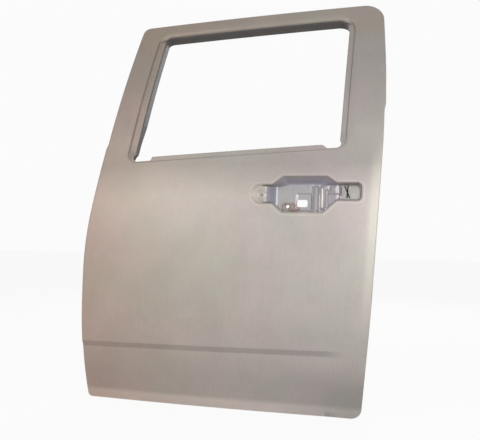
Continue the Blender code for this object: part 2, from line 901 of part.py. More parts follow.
def latch_holes():
    mouth = box_loop(Vector((0, 0)), *latch_mouth)
    return [mouth, *(circle_loop(Vector(place), latch_screw_radius) for place in latch_screw_places)]


def in_space(loops, place, turn):
    return [[place + turn @ Vector((*point, 0)) for point in loop] for loop in loops]


def wall_holes():
    """The holes of the inner panel's hinge wall, rear wall and bottom wall, as points in space."""
    front = []
    for height, loops in (
        (hinge_heights[0], hinge_holes()),
        (check_height, check_holes()),
        (hinge_heights[1], hinge_holes()),
    ):
        front += in_space(loops, Vector((hinge_wall, hinge_setback, height)), wall_turn())
    latch = Vector((rear_wall(latch_height), latch_setback, latch_height))
    rear = in_space(latch_holes(), latch, wall_turn(rear_lean()))
    bottom = []
    for share in drain_shares:
        middle = Vector((share * door_width, drain_setback, shut_inset))
        bottom += in_space([box_loop(Vector((0, 0)), *drain_slot)], middle, Matrix.Identity(3))
    return [front, rear, bottom]


def weld_nut(name, width, height, bore, material):
    outer = circle_loop(Vector((0, 0)), width / math.sqrt(3), nut_sides)
    return flat_piece(name, [outer, circle_loop(Vector((0, 0)), bore)], height, material)


def front_plate(name, shape, holes, height, steel):
    """A reinforcement against the hinge wall; returns the depth plane where its nuts start."""
    seat = hinge_wall + flat_draft + weld_gap
    backing = flat_piece(name, [box_loop(Vector((0, 0)), *shape), *holes], plate, steel)
    hang(backing, (seat + plate / 2, hinge_setback, height), wall_turn())
    return seat + plate + weld_gap


def hinge_parts(steel, nut_steel):
    for name, height in zip(("lower", "upper"), hinge_heights):
        rest = front_plate(f"{name}_hinge_reinforcement", hinge_plate, hinge_holes(), height, steel)
        for end, bolt in zip(("lower", "upper"), pair_places(bolt_spacing)):
            nut = weld_nut(f"{name}_hinge_{end}_weld_nut", nut_width, nut_height, nut_bore, nut_steel)
            hang(nut, (rest + nut_height / 2, hinge_setback, height + bolt.y), wall_turn())


def check_parts(steel, nut_steel):
    rest = front_plate("check_link_reinforcement", check_plate, check_holes(), check_height, steel)
    for end, bolt in zip(("lower", "upper"), pair_places(check_bolt_spacing)):
        name = f"check_link_{end}_weld_nut"
        nut = weld_nut(name, check_nut_width, check_nut_height, check_nut_bore, nut_steel)
        hang(nut, (rest + check_nut_height / 2, hinge_setback, check_height + bolt.y), wall_turn())


def latch_parts(steel):
    """The plate behind the latch face of the leaning rear wall."""
    turn = wall_turn(rear_lean())
    wall = Vector((rear_wall(latch_height), latch_setback, latch_height))
    outline = box_loop(Vector((0, 0)), *latch_plate)
    backing = flat_piece("latch_reinforcement", [outline, *latch_holes()], plate, steel)
    hang(backing, wall - turn.col[2] * (flat_draft + weld_gap + plate / 2), turn)


def beam_parts(steel, tube_steel, mastic):
    """The impact beam, a bracket at each end, and the mastic pads that tie it to the skin."""
    corner = flat_draft + weld_gap + plate
    front_start = hinge_wall + corner + beam_end_gap
    rear_end = rear_wall(beam_rear_height) - corner - beam_end_gap
    front = Vector((front_start, beam_setback, beam_front_height))
    rear = Vector((rear_end, beam_setback, beam_rear_height))
    beam = turned_tube("impact_beam", beam_radius, beam_wall, (rear - front).length, tube_steel)
    slope = math.atan2(rear.z - front.z, rear.x - front.x)
    hang(beam, (front + rear) / 2, Matrix.Rotation(math.pi / 2 - slope, 3, "Y"))
    back = beam_setback + beam_radius / math.cos(slope) + weld_gap
    legs = ((0, -bracket_leg), (0, 0), (bracket_reach, 0))
    bracket = folded_piece("impact_beam_front_bracket", legs, bracket_height, plate, steel)
    hang(bracket, (hinge_wall + flat_draft + weld_gap, back + plate, beam_front_height))
    legs = ((-bracket_reach, 0), (0, 0), (0, -bracket_leg))
    bracket = folded_piece("impact_beam_rear_bracket", legs, bracket_height, plate, steel)
    seat = rear_wall(beam_rear_height) - flat_draft - weld_gap
    hang(bracket, (seat, back + plate, beam_rear_height), Matrix.Rotation(rear_lean(), 3, "Y"))
    for index, share in enumerate(pad_shares):
        x = share * door_width
        z = blend(front.z, rear.z, (x - front.x) / (rear.x - front.x))
        mastic_pad(f"mastic_pad_{index + 1}", x, z, mastic)


def turned_tube(name, radius, wall, length, material):
    """A tube along Z, turned from its wall's section."""
    mesh = bmesh.new()
    section = (
        (radius, length / 2),
        (radius, -length / 2),
        (radius - wall, -length / 2),
        (radius - wall, length / 2),
    )
    verts = [mesh.verts.new((x, 0, z)) for x, z in section]
    for index in range(len(verts)):
        mesh.edges.new((verts[index - 1], verts[index]))
    piece = new_object(name, mesh, material)
    turning = piece.modifiers.new("turning", "SCREW")
    turning.steps = turning.render_steps = beam_sides
    turning.use_merge_vertices = True
    turning.merge_threshold = weld_distance
    turning.use_smooth_shade = True
    return piece


def mastic_pad(name, x, z, material):
    """A round pad whose outer end follows the skin and whose inner end lies on the beam."""
    loop = circle_loop(Vector((x, z)), pad_radius, pad_points)
    mesh = flat_mesh([loop], beam_radius)
    bmesh.ops.rotate(mesh, verts=mesh.verts, matrix=Matrix.Rotation(math.pi / 2, 3, "X"))
    for vert in mesh.verts:
        outer = skin_depth(vert.co.x, vert.co.z) + sheet + seam_gap
        vert.co.y = outer if vert.co.y < 0 else beam_setback - beam_radius - weld_gap
    return new_object(name, mesh, material)


def belt_strip(name, ends, rows, depths, follow, thickness, material):
    """A pressed strip along the belt, its rows given from the belt line and by their depths."""
    blank = Blank()
    between = [place for place in cross_stations() if ends[0] < place < ends[1]]
    places = [ends[0], *between, ends[1]]
    row = [blank.mesh.verts.new((x, 0, belt_line(x) + rows[0])) for x in places]
    blank.press(row, depths[0], follow)
    for height, depth in zip(rows[1:], depths[1:]):
        edges = [blank.mesh.edges.get(pair) or blank.mesh.edges.new(pair) for pair in zip(row, row[1:])]
        made = bmesh.ops.extrude_edge_only(blank.mesh, edges=edges)["geom"]
        drawn = [item for item in made if isinstance(item, bmesh.types.BMVert)]
        row = sorted(drawn, key=lambda vert: vert.co.x)
        for vert in row:
            vert.co.z = belt_line(vert.co.x) + height
        blank.press(row, depth, follow)
    blank.form()
    bmesh.ops.recalc_face_normals(blank.mesh, faces=blank.mesh.faces)
    if sum(face.normal.y for face in blank.mesh.faces) > 0:
        bmesh.ops.reverse_faces(blank.mesh, faces=blank.mesh.faces)
    piece = new_object(name, blank.mesh, material)
    thicken(piece, thickness)
    return piece


def belt_parts(steel):
    """The hat sections behind the skin's belt strip and along the inner panel's belt."""
    flange = belt_joggle + sheet + seam_gap
    foot = sheet + seam_gap
    depths = (flange, flange, flange + outer_hat, foot + outer_hat, foot, foot)
    belt_strip("outer_belt_reinforcement", outer_belt_ends, outer_rows, depths, 0, plate / 2, steel)
    flat = -plate / 2 - weld_gap
    depths = (flat, flat, flat - inner_hat, flat - inner_hat, flat, flat)
    belt_strip("inner_belt_reinforcement", inner_belt_ends, inner_rows, depths, 1, plate / 2, steel)


def skin_turn(x, z):
    """The turn that lays a plate drawn in the XY plane parallel to the skin, its top face outward."""
    span = station_pitch / 2
    rearward = Vector((2 * span, skin_depth(x + span, z) - skin_depth(x - span, z), 0)).normalized()
    upward = Vector((0, skin_depth(x, z + span) - skin_depth(x, z - span), 2 * span))
    outward = rearward.cross(upward).normalized()
    return Matrix((rearward, outward.cross(rearward), outward)).transposed()


def handle_backer(steel):
    """The plate behind the rear arm of the pocket, with its crossed slit."""
    spot = pocket_middle() + Vector(backer_place)
    turn = skin_turn(spot.x, spot.y)
    depth = arm_depth + sheet + seam_gap + plate / 2
    place = Vector((spot.x, skin_depth(spot.x, spot.y), spot.y)) - turn.col[2] * depth
    backing = flat_piece("handle_reinforcement", [box_loop(Vector((0, 0)), *backer)], plate, steel)
    hang(backing, place, turn)
    for index, spread in enumerate(slit_spreads):
        slit = box_loop(Vector((0, 0)), slit_width, slit_length, slit_width / 4, 1)
        tilt = turn @ Matrix.Rotation(-math.atan2(spread, slit_length), 3, "Z")
        spot = place + turn @ Vector((*slit_place, 0))
        cut_slot(backing, f"slit_{index}", flat_mesh([slit], 2 * overrun), spot, tilt)


def channel_line(share, side):
    """Top and foot of a glass channel, parallel to the side of the window that it continues."""
    lower, upper = (at_share(window_shares[index]) for index in side)
    lean = (upper.x - lower.x) / (upper.y - lower.y)
    x = share * door_width
    top = Vector((x, channel_top_depth, belt_line(x) - channel_below_belt))
    foot = Vector((x - lean * channel_drop, channel_foot_depth, top.z - channel_drop))
    return top, foot


def glass_channel(name, share, side, facing, tie_at, material, steel):
    """One glass channel and the bracket that ties it to the inner panel."""
    top, foot = channel_line(share, side)
    along = (top - foot).normalized()
    across = Vector((along.z, 0, -along.x)).normalized() * facing
    inward = along.cross(across)
    half = channel_width / 2
    section = ((channel_depth, -half), (0, -half), (0, half), (channel_depth, half))
    channel = folded_piece(f"{name}_glass_channel", section, (top - foot).length, sheet, material)
    turn = Matrix((across, inward, along)).transposed()
    hang(channel, (top + foot) / 2, turn)
    share = (tie_at - foot.z) / (top.z - foot.z)
    web = foot.lerp(top, share)
    panel_side = inner_face - weld_gap
    legs = ((-tie_foot, panel_side - web.y), (0, panel_side - web.y), (0, -tie_lap))
    if facing < 0:
        legs = tuple((-x, y) for x, y in reversed(legs))
    tie = folded_piece(f"{name}_channel_bracket", legs, tie_height, plate, steel)
    lean = Matrix.Rotation(math.atan2(along.x, along.z), 3, "Y")
    hang(tie, web - across * weld_gap, lean)


def clear_scene():
    for item in list(bpy.data.objects):
        bpy.data.objects.remove(item)


def new_collection(name, hidden=False):
    collection = bpy.data.collections.new(name)
    collection.hide_render = hidden
    bpy.context.scene.collection.children.link(collection)
    return collection


def build():
    outer_skin()
    inner_panel()
    plate_steel = new_material("plate steel", plate_colour, 0.5, 0.7)
    tube_steel = new_material("beam steel", beam_colour, 0.45, 0.7)
    channel_steel = new_material("channel steel", channel_colour, 0.45, 0.8)
    nut_steel = new_material("plated steel", nut_colour, 0.35, 0.9)
    mastic = new_material("mastic", pad_colour, 0.8, 0.0)
    hinge_parts(plate_steel, nut_steel)
    check_parts(plate_steel, nut_steel)
    latch_parts(plate_steel)
    beam_parts(plate_steel, tube_steel, mastic)
    belt_parts(plate_steel)
    handle_backer(plate_steel)
    glass_channel("front", front_channel_share, (0, 3), 1, front_tie_height, channel_steel, plate_steel)
    glass_channel("rear", rear_channel_share, (1, 2), -1, rear_tie_height, channel_steel, plate_steel)


clear_scene()
pieces = new_collection("door_shell")
cutters = new_collection("cutters", True)
hanger = bpy.data.objects.new("hanger", None)
pieces.objects.link(hanger)
hanger.location = (sheet - hinge_wall, -hinge_setback, -hinge_heights[1])
build()
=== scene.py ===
import math

import bmesh
import bpy
from mathutils import Matrix, Vector


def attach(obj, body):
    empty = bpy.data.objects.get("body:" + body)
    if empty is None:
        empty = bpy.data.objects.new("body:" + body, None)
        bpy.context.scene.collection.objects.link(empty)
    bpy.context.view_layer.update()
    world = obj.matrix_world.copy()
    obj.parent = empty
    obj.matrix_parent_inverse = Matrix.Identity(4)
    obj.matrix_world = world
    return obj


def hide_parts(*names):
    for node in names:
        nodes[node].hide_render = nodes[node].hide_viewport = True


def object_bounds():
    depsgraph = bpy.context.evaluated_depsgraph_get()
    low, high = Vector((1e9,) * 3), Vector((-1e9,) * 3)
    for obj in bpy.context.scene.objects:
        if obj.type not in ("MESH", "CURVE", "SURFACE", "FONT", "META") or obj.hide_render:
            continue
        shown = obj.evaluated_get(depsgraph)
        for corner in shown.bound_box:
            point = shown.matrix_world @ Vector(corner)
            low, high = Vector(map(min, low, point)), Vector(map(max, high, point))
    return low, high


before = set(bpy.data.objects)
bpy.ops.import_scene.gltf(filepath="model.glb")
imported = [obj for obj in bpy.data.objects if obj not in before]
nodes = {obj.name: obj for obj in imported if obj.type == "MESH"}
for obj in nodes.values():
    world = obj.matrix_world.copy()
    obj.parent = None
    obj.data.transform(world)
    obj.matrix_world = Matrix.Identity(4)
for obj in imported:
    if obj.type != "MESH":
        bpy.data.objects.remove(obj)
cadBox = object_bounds()
print("frame loaded")

# everything is drawn from the lower hinge corner of the door, then moved to where the frame has it
hang = Vector((-0.0157, -0.0760, -0.3720))

door = {
    "width": 0.846,
    "height": 1.172,
    "sheet": 0.0008,
    "bellyHeight": 0.275,
    "beltHeight": 0.700,
    "sillTuck": 0.053,
    "bellyRadius": 1.96,
    "pillarRadius": 1.81,
    "crownRadius": 8.0,
    "meshPitch": 0.010,
    "merge": 0.00001,
}

crease = {
    "height": 0.1725,
    "climb": 0.0145,
    "drop": 0.0150,
    "depth": 0.004,
    "softness": 0.14,
    "end": 0.690,
    "fade": 0.100,
    "shadeInside": 0.002,
    "shadeOutside": 0.001,
    "cuts": (-0.14, -0.05, 0.05, 0.14, 0.35, 0.65, 0.86, 0.95, 1.05, 1.14),  # shares of the drop
    "cutsBelow": 0.25,
}

rearRoll = {"rise": 0.0024, "reach": 0.036, "spread": 0.26, "low": 0.20, "high": 0.64, "fade": 0.10}


def blend(low, high, share):
    return low + (high - low) * share


def ease(share):
    held = min(max(share, 0.0), 1.0)
    return held * held * (3 - 2 * held)


def fold(share, softness):
    # a straight slope from 0 to 1 with a short bend at each end
    if share < softness:
        return max(share + softness, 0.0) ** 2 / (4 * softness)
    if share > 1 - softness:
        return 1 - max(1 + softness - share, 0.0) ** 2 / (4 * softness)
    return share


def hump(value, middle, width):
    return math.exp(-(((value - middle) / width) ** 2))


def creaseLine(x):
    return crease["height"] + crease["climb"] * x / door["width"]


def skinDepth(x, z):
    # crown across the door, crease low down, then sill, belly and pillar arcs
    across = (x - door["width"] / 2) ** 2 / (2 * door["crownRadius"])
    step = crease["depth"] * fold((creaseLine(x) - z) / crease["drop"], crease["softness"])
    step *= 1 - ease((x - crease["end"]) / crease["fade"])
    belly, belt = door["bellyHeight"], door["beltHeight"]
    if z < belly:
        return across + step + door["sillTuck"] * ((belly - z) / belly) ** 2
    lower = min(z, belt) - belly
    upper = max(z - belt, 0)
    lean = (belt - belly) / door["bellyRadius"]
    curved = lower**2 / (2 * door["bellyRadius"]) + upper**2 / (2 * door["pillarRadius"])
    return across + curved + upper * lean


# plan loops, as (x, z) points run anticlockwise


def atShare(share):
    return Vector((share[0] * door["width"], share[1] * door["height"]))


def roundedLoop(corners):
    points = []
    for index, (corner, radius, steps) in enumerate(corners):
        back = (corners[index - 1][0] - corner).normalized()
        ahead = (corners[(index + 1) % len(corners)][0] - corner).normalized()
        half = back.angle(ahead) / 2
        centre = corner + (back + ahead).normalized() * radius / math.sin(half)
        start = corner + back * radius / math.tan(half) - centre
        turn = math.pi - 2 * half
        if back.cross(ahead) > 0:
            turn = -turn
        for step in range(steps + 1):
            points.append(centre + Matrix.Rotation(turn * step / steps, 2) @ start)
    return points


def boxLoop(centre, length, height, radius, steps):
    half = Vector((length / 2, height / 2))
    signs = ((-1, -1), (1, -1), (1, 1), (-1, 1))
    return roundedLoop([(centre + Vector((half.x * u, half.y * v)), radius, steps) for u, v in signs])


def circleLoop(centre, radius, count):
    turns = [2 * math.pi * index / count for index in range(count)]
    return [centre + Vector((math.cos(turn), math.sin(turn))) * radius for turn in turns]


def offsetLoop(loop, inset):
    insets = inset if isinstance(inset, list) else [inset] * len(loop)
    moved = []
    for index, point in enumerate(loop):
        before = (point - loop[index - 1]).normalized()
        after = (loop[(index + 1) % len(loop)] - point).normalized()
        inward = Vector((-before.y - after.y, before.x + after.x)).normalized()
        across = Vector((-before.y, before.x))
        moved.append(point + inward * insets[index] / inward.dot(across))
    return moved


def dividedLoop(loop, longest):
    points = []
    for index, point in enumerate(loop):
        ahead = loop[(index + 1) % len(loop)]
        count = max(1, math.ceil((ahead - point).length / longest))
        points.extend(point.lerp(ahead, step / count) for step in range(count))
    return points


def withPlaces(loop, places):
    points = []
    for index, point in enumerate(loop):
        ahead = loop[(index + 1) % len(loop)]
        points.append(point)
        for place in places:
            if point.x < place < ahead.x:
                points.append(point.lerp(ahead, (place - point.x) / (ahead.x - point.x)))
    return points


# a sheet is drawn flat: x and z are the plan, y is how far a point is pressed in from the outer face


def drawLoop(bm, loop):
    ring = [bm.verts.new((point.x, 0, point.y)) for point in loop]
    for index in range(len(ring)):
        bm.edges.new((ring[index - 1], ring[index]))
    return ring


def ringEdges(bm, ring):
    return [bm.edges.get((ring[index - 1], ring[index])) for index in range(len(ring))]


def carryLoop(bm, ring, loop, press):
    presses = press if isinstance(press, list) else [press] * len(loop)
    made = bmesh.ops.extrude_edge_only(bm, edges=ringEdges(bm, ring))["geom"]
    fresh = {item for item in made if isinstance(item, bmesh.types.BMVert)}
    further = []
    for vert, point, deep in zip(ring, loop, presses):
        others = (edge.other_vert(vert) for edge in vert.link_edges)
        partner = next(other for other in others if other in fresh)
        partner.co = (point.x, deep, point.y)
        further.append(partner)
    return further


def fillFace(bm, rings):
    edges = [edge for ring in rings for edge in ringEdges(bm, ring)]
    before = set(edges)
    made = bmesh.ops.triangle_fill(bm, use_beauty=True, edges=edges, normal=(0, -1, 0))["geom"]
    filling = bm.edges.layers.int["filling"]
    for item in made:
        if isinstance(item, bmesh.types.BMEdge) and item not in before:
            item[filling] = 1
    return [item for item in made if isinstance(item, bmesh.types.BMFace)]


def cutFaces(bm, faces, place, normal):
    verts = {vert for face in faces for vert in face.verts}
    edges = {edge for face in faces for edge in face.edges}
    made = bmesh.ops.bisect_plane(
        bm, geom=[*verts, *edges, *faces], dist=door["merge"], plane_co=place, plane_no=normal
    )["geom"]
    return [item for item in made if isinstance(item, bmesh.types.BMFace)]


def dropFilling(bm):
    filling = bm.edges.layers.int["filling"]
    loose = [edge for edge in bm.edges if edge[filling] and len(edge.link_faces) == 2]
    bmesh.ops.dissolve_edges(bm, edges=loose, use_verts=False, use_face_split=False)


def spread(low, high, pitch):
    count = max(1, math.ceil((high - low) / pitch))
    return [blend(low, high, index / count) for index in range(1, count)]


def makePiece(name, bm, materialName, thickness=0.0, sharp=35):
    mesh = bpy.data.meshes.new(name)
    bm.to_mesh(mesh)
    bm.free()
    piece = bpy.data.objects.new(name, mesh)
    bpy.context.scene.collection.objects.link(piece)
    if thickness:
        wall = piece.modifiers.new("wall", "SOLIDIFY")
        wall.thickness = thickness
        wall.offset = -1
        wall.use_quality_normals = True
        graph = bpy.context.evaluated_depsgraph_get()
        baked = bpy.data.meshes.new_from_object(piece.evaluated_get(graph))
        piece.modifiers.clear()
        piece.data = baked
    piece.data.materials.clear()
    piece.data.materials.append(bpy.data.materials[materialName])
    piece.data.shade_smooth()
    piece.data.set_sharp_from_angle(angle=math.radians(sharp))
    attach(piece, "root")
    return piece


# materials


def startMaterial(name):
    material = bpy.data.materials.new(name)
    material.use_nodes = True
    tree = material.node_tree
    return tree, tree.nodes["Principled BSDF"]


def addNode(tree, kind, **settings):
    node = tree.nodes.new(kind)
    for key, value in settings.items():
        if key in node.inputs:
            node.inputs[key].default_value = value
        else:
            setattr(node, key, value)
    return node


def objectCoords(tree, scale, place):
    coords = addNode(tree, "ShaderNodeTexCoord")
    mapping = addNode(tree, "ShaderNodeMapping")
    mapping.inputs["Scale"].default_value = scale
    mapping.inputs["Location"].default_value = place
    tree.links.new(coords.outputs["Object"], mapping.inputs["Vector"])
    return mapping.outputs["Vector"]


def ramp(tree, value, stops):
    node = addNode(tree, "ShaderNodeValToRGB")
    elements = node.color_ramp.elements
    while len(elements) < len(stops):
        elements.new(0.5)
    for element, (place, colour) in zip(elements, stops):
        element.position = place
        element.color = colour if isinstance(colour, tuple) else (colour, colour, colour, 1)
    tree.links.new(value, node.inputs["Fac"])
    return node.outputs["Color"]


def tinted(tree, share, colour, tint):
    # a tint is a colour or one shade, and multiplies as far as its share goes
    node = addNode(tree, "ShaderNodeMix", data_type="RGBA", blend_type="MULTIPLY")
    shade = (tint, tint, tint, 1) if isinstance(tint, float) else tint
    for socket, value in ((0, share), (6, colour), (7, shade)):
        if isinstance(value, (int, float, tuple)):
            node.inputs[socket].default_value = value
        else:
            tree.links.new(value, node.inputs[socket])
    return node.outputs[2]


def scaled(tree, value, low, high):
    node = addNode(tree, "ShaderNodeMapRange")
    node.inputs["To Min"].default_value = low
    node.inputs["To Max"].default_value = high
    tree.links.new(value, node.inputs["Value"])
    return node.outputs["Result"]


def rising(tree, value, low, high):
    # 0 below low, 1 above high, smooth between; low above high turns it round
    node = addNode(tree, "ShaderNodeMapRange", interpolation_type="SMOOTHSTEP")
    node.inputs["From Min"].default_value = min(low, high)
    node.inputs["From Max"].default_value = max(low, high)
    node.inputs["To Min"].default_value = 0.0 if low < high else 1.0
    node.inputs["To Max"].default_value = 1.0 if low < high else 0.0
    tree.links.new(value, node.inputs["Value"])
    return node.outputs["Result"]


def worked(tree, operation, first, second):
    node = addNode(tree, "ShaderNodeMath", operation=operation)
    for socket, value in enumerate((first, second)):
        if isinstance(value, (int, float)):
            node.inputs[socket].default_value = value
        else:
            tree.links.new(value, node.inputs[socket])
    return node.outputs[0]


def product(tree, *values):
    total = values[0]
    for value in values[1:]:
        total = worked(tree, "MULTIPLY", total, value)
    return total


def slanted(tree, value, other, slope):
    # what is left of one coordinate along a line that leans with the other
    return worked(tree, "SUBTRACT", value, worked(tree, "MULTIPLY", other, slope))


def bumped(tree, height, bump):
    strength, distance = bump
    node = addNode(tree, "ShaderNodeBump", Strength=strength, Distance=distance)
    tree.links.new(height, node.inputs["Height"])
    return node


def patch(tree, place, lows, highs, soft):
    # a soft-edged patch between two places in x and z
    sides = []
    for axis, low, high in zip("XZ", lows, highs):
        sides += [rising(tree, place[axis], low, low + soft), rising(tree, place[axis], high, high - soft)]
    return product(tree, *sides)


steel = {
    "front": (0.389, 0.303, 0.267, 1),
    "middle": (0.388, 0.349, 0.326, 1),
    "rear": (0.404, 0.368, 0.362, 1),
    "metallic": 0.22,
    "roughness": (0.36, 0.50),
    "swell": (0.18, 0.0015),  # strength and height of a bump
    "scratch": (0.10, 0.0002),
    "dimples": (0.15, 0.0004),
    # the height shares are painted shade and light: darker belt, pillars, sill and top rail, a lighter sill
    # edge
    "belt": 0.73,  # shades of the steel, as shares
    "pillar": 0.79,
    "sill": 0.875,
    "sillEdge": 1.20,
    # painted shade in the crease
    "creaseShade": 0.80,
    "rearFoot": 0.75,
    "rearFootReach": (0.52, 0.80),
    # painted shade for the window's flange and under the top rail
    "flange": (0.235, 0.232, 0.262, 1),
    # the pocket tints and rear band below are painted shade, reflected tints and highlights
    "cup": (0.88, 0.925, 1.02, 1),
    "cupGloss": 0.40,
    "ceiling": (1.04, 1.02, 1.17, 1),
    "facet": (0.80, 0.83, 0.98, 1),
    "footLipHighlight": (1.75, 1.75, 1.80, 1),
    "beadHighlight": (1.16, 1.16, 1.14, 1),
    "rearBand": (1.13, 1.15, 1.10, 1),
    "railTop": 0.86,
    "rail": (0.99, 0.965, 0.90, 1),
    "railSlope": 0.04,
    # painted highlight on the pocket's ribs
    "ribHighlight": (1.34, 1.32, 1.26, 1),
    "rust": (0.60, 0.40, 0.32, 1),
    "rosy": (1.035, 0.985, 0.965, 1),
    "olive": (0.975, 1.0, 0.93, 1),
}

# low and high corners in x and z, and how soft the edge is
tintPatches = {
    "cup": ((0.480, 0.540), (0.795, 0.650), 0.004),
    "ceiling": ((0.540, 0.608), (0.722, 0.662), 0.010),
    "facet": ((0.526, 0.570), (0.560, 0.615), 0.005),
    "footLipHighlight": ((0.560, 0.538), (0.700, 0.556), 0.004),
    "ribHighlight": ((0.672, 0.556), (0.688, 0.618), 0.004),
    "ridge": ((0.6485, 0.590), (0.6555, 0.624), 0.0015),
    "rust": ((0.566, 0.544), (0.622, 0.576), 0.007),
}

# where a tint starts and is whole: by how far the sheet is pressed in, and by height
tintDepths = {
    "cup": (0.003, 0.018),
    "deep": (0.003, 0.007),
    "footLipHighlight": (0.027, 0.022),
    "beadHighlight": (-0.00004, -0.00014),
    "rearBand": (0.001, 0.0),
    "rust": (0.022, 0.028),
    "flange": (0.0104, 0.0125),
    "underRail": (0.0072, 0.0100),
}
tintHeights = {
    "foot": (0.17, 0.06),
    "rearBand": (0.22, 0.42),
    "rearBandTop": (0.74, 0.66),
    "beadHighlight": (0.40, 0.45),
    "ceiling": (0.612, 0.622),
    "belt": (0.66, 0.67),
    "rail": (1.02, 1.10),
    "underRail": (1.070, 1.080),
}
# painted highlight band along the rear edge
rearBand = {"start": 0.7928, "slope": 0.0623, "inner": (0.031, 0.015), "outer": (-0.001, 0.004)}

# painted shade on the sideways-facing walls round the window
windowWalls = {
    "shade": (0.24, 0.24, 0.2496, 1),
    "facing": (0.80, 0.45),
    "belt": (0.66, 0.70),
    "front": (0.000, 0.012),
    "frontSlope": 0.125,
    "top": (1.102, 1.094),
    "topSlope": 0.05,
    "rear": (0.790, 0.775),
}

# scale and place of the noise, then its size, detail and roughness
noises = {
    "blotches": ((1, 1, 1), (3.1, 0, 1.7), 7.0, 2.0, 0.55),
    "clouds": ((1, 1, 1), (0.3, 0, 5.2), 11.0, 3.0, 0.6),
    "streaks": ((60, 60, 2.2), (0, 0, 0), 5.0, 4.0, 0.6),
    "specks": ((1, 1, 1), (0, 0, 0), 260.0, 2.0, 0.5),
    "grains": ((1, 1, 1), (0, 0, 0), 120.0, 3.0, 0.6),
    "waves": ((1, 1, 0.6), (0, 0, 0), 9.0, 1.0, 0.4),
    "plainClouds": ((1, 1, 1), (0, 0, 0), 14.0, 3.0, 0.6),
    "plainSpecks": ((1, 1, 1), (0.4, 0.2, 0.9), 160.0, 2.0, 0.5),
}
mottles = {
    "blotches": ((0.36, steel["olive"]), (0.64, steel["rosy"])),
    "clouds": ((0.32, 0.955), (0.68, 1.035)),
    "streaks": ((0.25, 0.955), (0.75, 1.035)),
    "specks": ((0.25, 0.95), (0.75, 1.035)),
}


def namedNoise(tree, name):
    scale, place, size, detail, rough = noises[name]
    texture = addNode(tree, "ShaderNodeTexNoise", Scale=size, Detail=detail, Roughness=rough)
    tree.links.new(objectCoords(tree, scale, place), texture.inputs["Vector"])
    return texture.outputs["Fac"]


def skinPlaces(tree):
    places = addNode(tree, "ShaderNodeSeparateXYZ")
    tree.links.new(objectCoords(tree, (1, 1, 1), tuple(-hang)), places.inputs["Vector"])
    return {axis: places.outputs[axis] for axis in "XYZ"}


def skinShades(tree, place, press):
    # painted shade and light by height: darker along the belt, on the pillars and top rail and below the
    # crease, lighter at the sill edge; painted shade in the crease, in the window's flange and under the top
    # rail; darker low at the rear
    high = scaled(tree, place["Z"], 0.0, 1.0)
    levels = ramp(tree, high, (
        (0.004, steel["sillEdge"]), (0.024, steel["sillEdge"]),
        (0.036, steel["sill"]), (0.090, steel["sill"]),
        (0.165, 0.97), (0.260, 1.0), (0.590, 1.0), (0.680, steel["belt"]),
        (0.760, steel["pillar"]), (0.99, steel["pillar"] * steel["railTop"]),
    ))
    line = slanted(tree, place["Z"], place["X"], crease["climb"] / door["width"])
    low, top = crease["height"] - crease["drop"], crease["height"]
    band = product(
        tree,
        rising(tree, line, low - crease["shadeInside"], low + crease["shadeOutside"]),
        rising(tree, line, top + crease["shadeOutside"], top - crease["shadeInside"]),
        rising(tree, place["X"], crease["end"] + crease["fade"] / 2, crease["end"]),
    )
    # painted shade in the crease band
    shaded = tinted(tree, band, levels, steel["creaseShade"])
    rearward = rising(tree, place["X"], *steel["rearFootReach"])
    foot = product(tree, rearward, rising(tree, place["Z"], *tintHeights["foot"]))
    shaded = tinted(tree, foot, shaded, steel["rearFoot"])
    # painted shade in the window's flange and under the top rail
    aboveBelt = rising(tree, place["Z"], *tintHeights["belt"])
    flange = product(tree, aboveBelt, rising(tree, press, *tintDepths["flange"]))
    shaded = tinted(tree, rising(tree, place["Z"], *tintHeights["rail"]), shaded, steel["rail"])
    leaned = slanted(tree, place["Z"], place["X"], steel["railSlope"])
    underRail = product(
        tree, rising(tree, leaned, *tintHeights["underRail"]), rising(tree, press, *tintDepths["underRail"])
    )
    return tinted(tree, worked(tree, "MAXIMUM", flange, underRail), shaded, steel["flange"])


def pocketTints(tree, place, press):
    # where the handle pocket and the rear edge catch or lose light
    deep = rising(tree, press, *tintDepths["deep"])

    def pressedPatch(name, *limits):
        return product(tree, patch(tree, place, *tintPatches[name]), deep, *limits)

    # painted cool reflection on the pocket's ceiling and painted cool shade on its front facet
    ceiling = pressedPatch("ceiling", rising(tree, place["Z"], *tintHeights["ceiling"]))
    # painted highlight on the pocket's bottom lip
    footLipHighlight = pressedPatch("footLipHighlight", rising(tree, press, *tintDepths["footLipHighlight"]))
    # painted highlight on the bead round the pocket's mouth
    beadHighlight = product(
        tree, rising(tree, press, *tintDepths["beadHighlight"]), rising(tree, place["Z"], *tintHeights["beadHighlight"])
    )
    # painted highlights on the pocket's ribs
    ridges = worked(tree, "MAXIMUM", pressedPatch("ribHighlight"), pressedPatch("ridge"))
    # painted highlight band along the rear edge
    edge = slanted(tree, place["X"], place["Z"], rearBand["slope"])
    inward = worked(tree, "SUBTRACT", rearBand["start"], edge)
    rearLight = product(
        tree,
        rising(tree, inward, *rearBand["inner"]),
        rising(tree, inward, *rearBand["outer"]),
        rising(tree, place["Z"], *tintHeights["rearBand"]),
        rising(tree, place["Z"], *tintHeights["rearBandTop"]),
        rising(tree, press, *tintDepths["rearBand"]),
    )
    return (
        (ceiling, steel["ceiling"]),
        (pressedPatch("facet"), steel["facet"]),
        (footLipHighlight, steel["footLipHighlight"]),
        (beadHighlight, steel["beadHighlight"]),
        (ridges, steel["ribHighlight"]),
        (rearLight, steel["rearBand"]),
    )


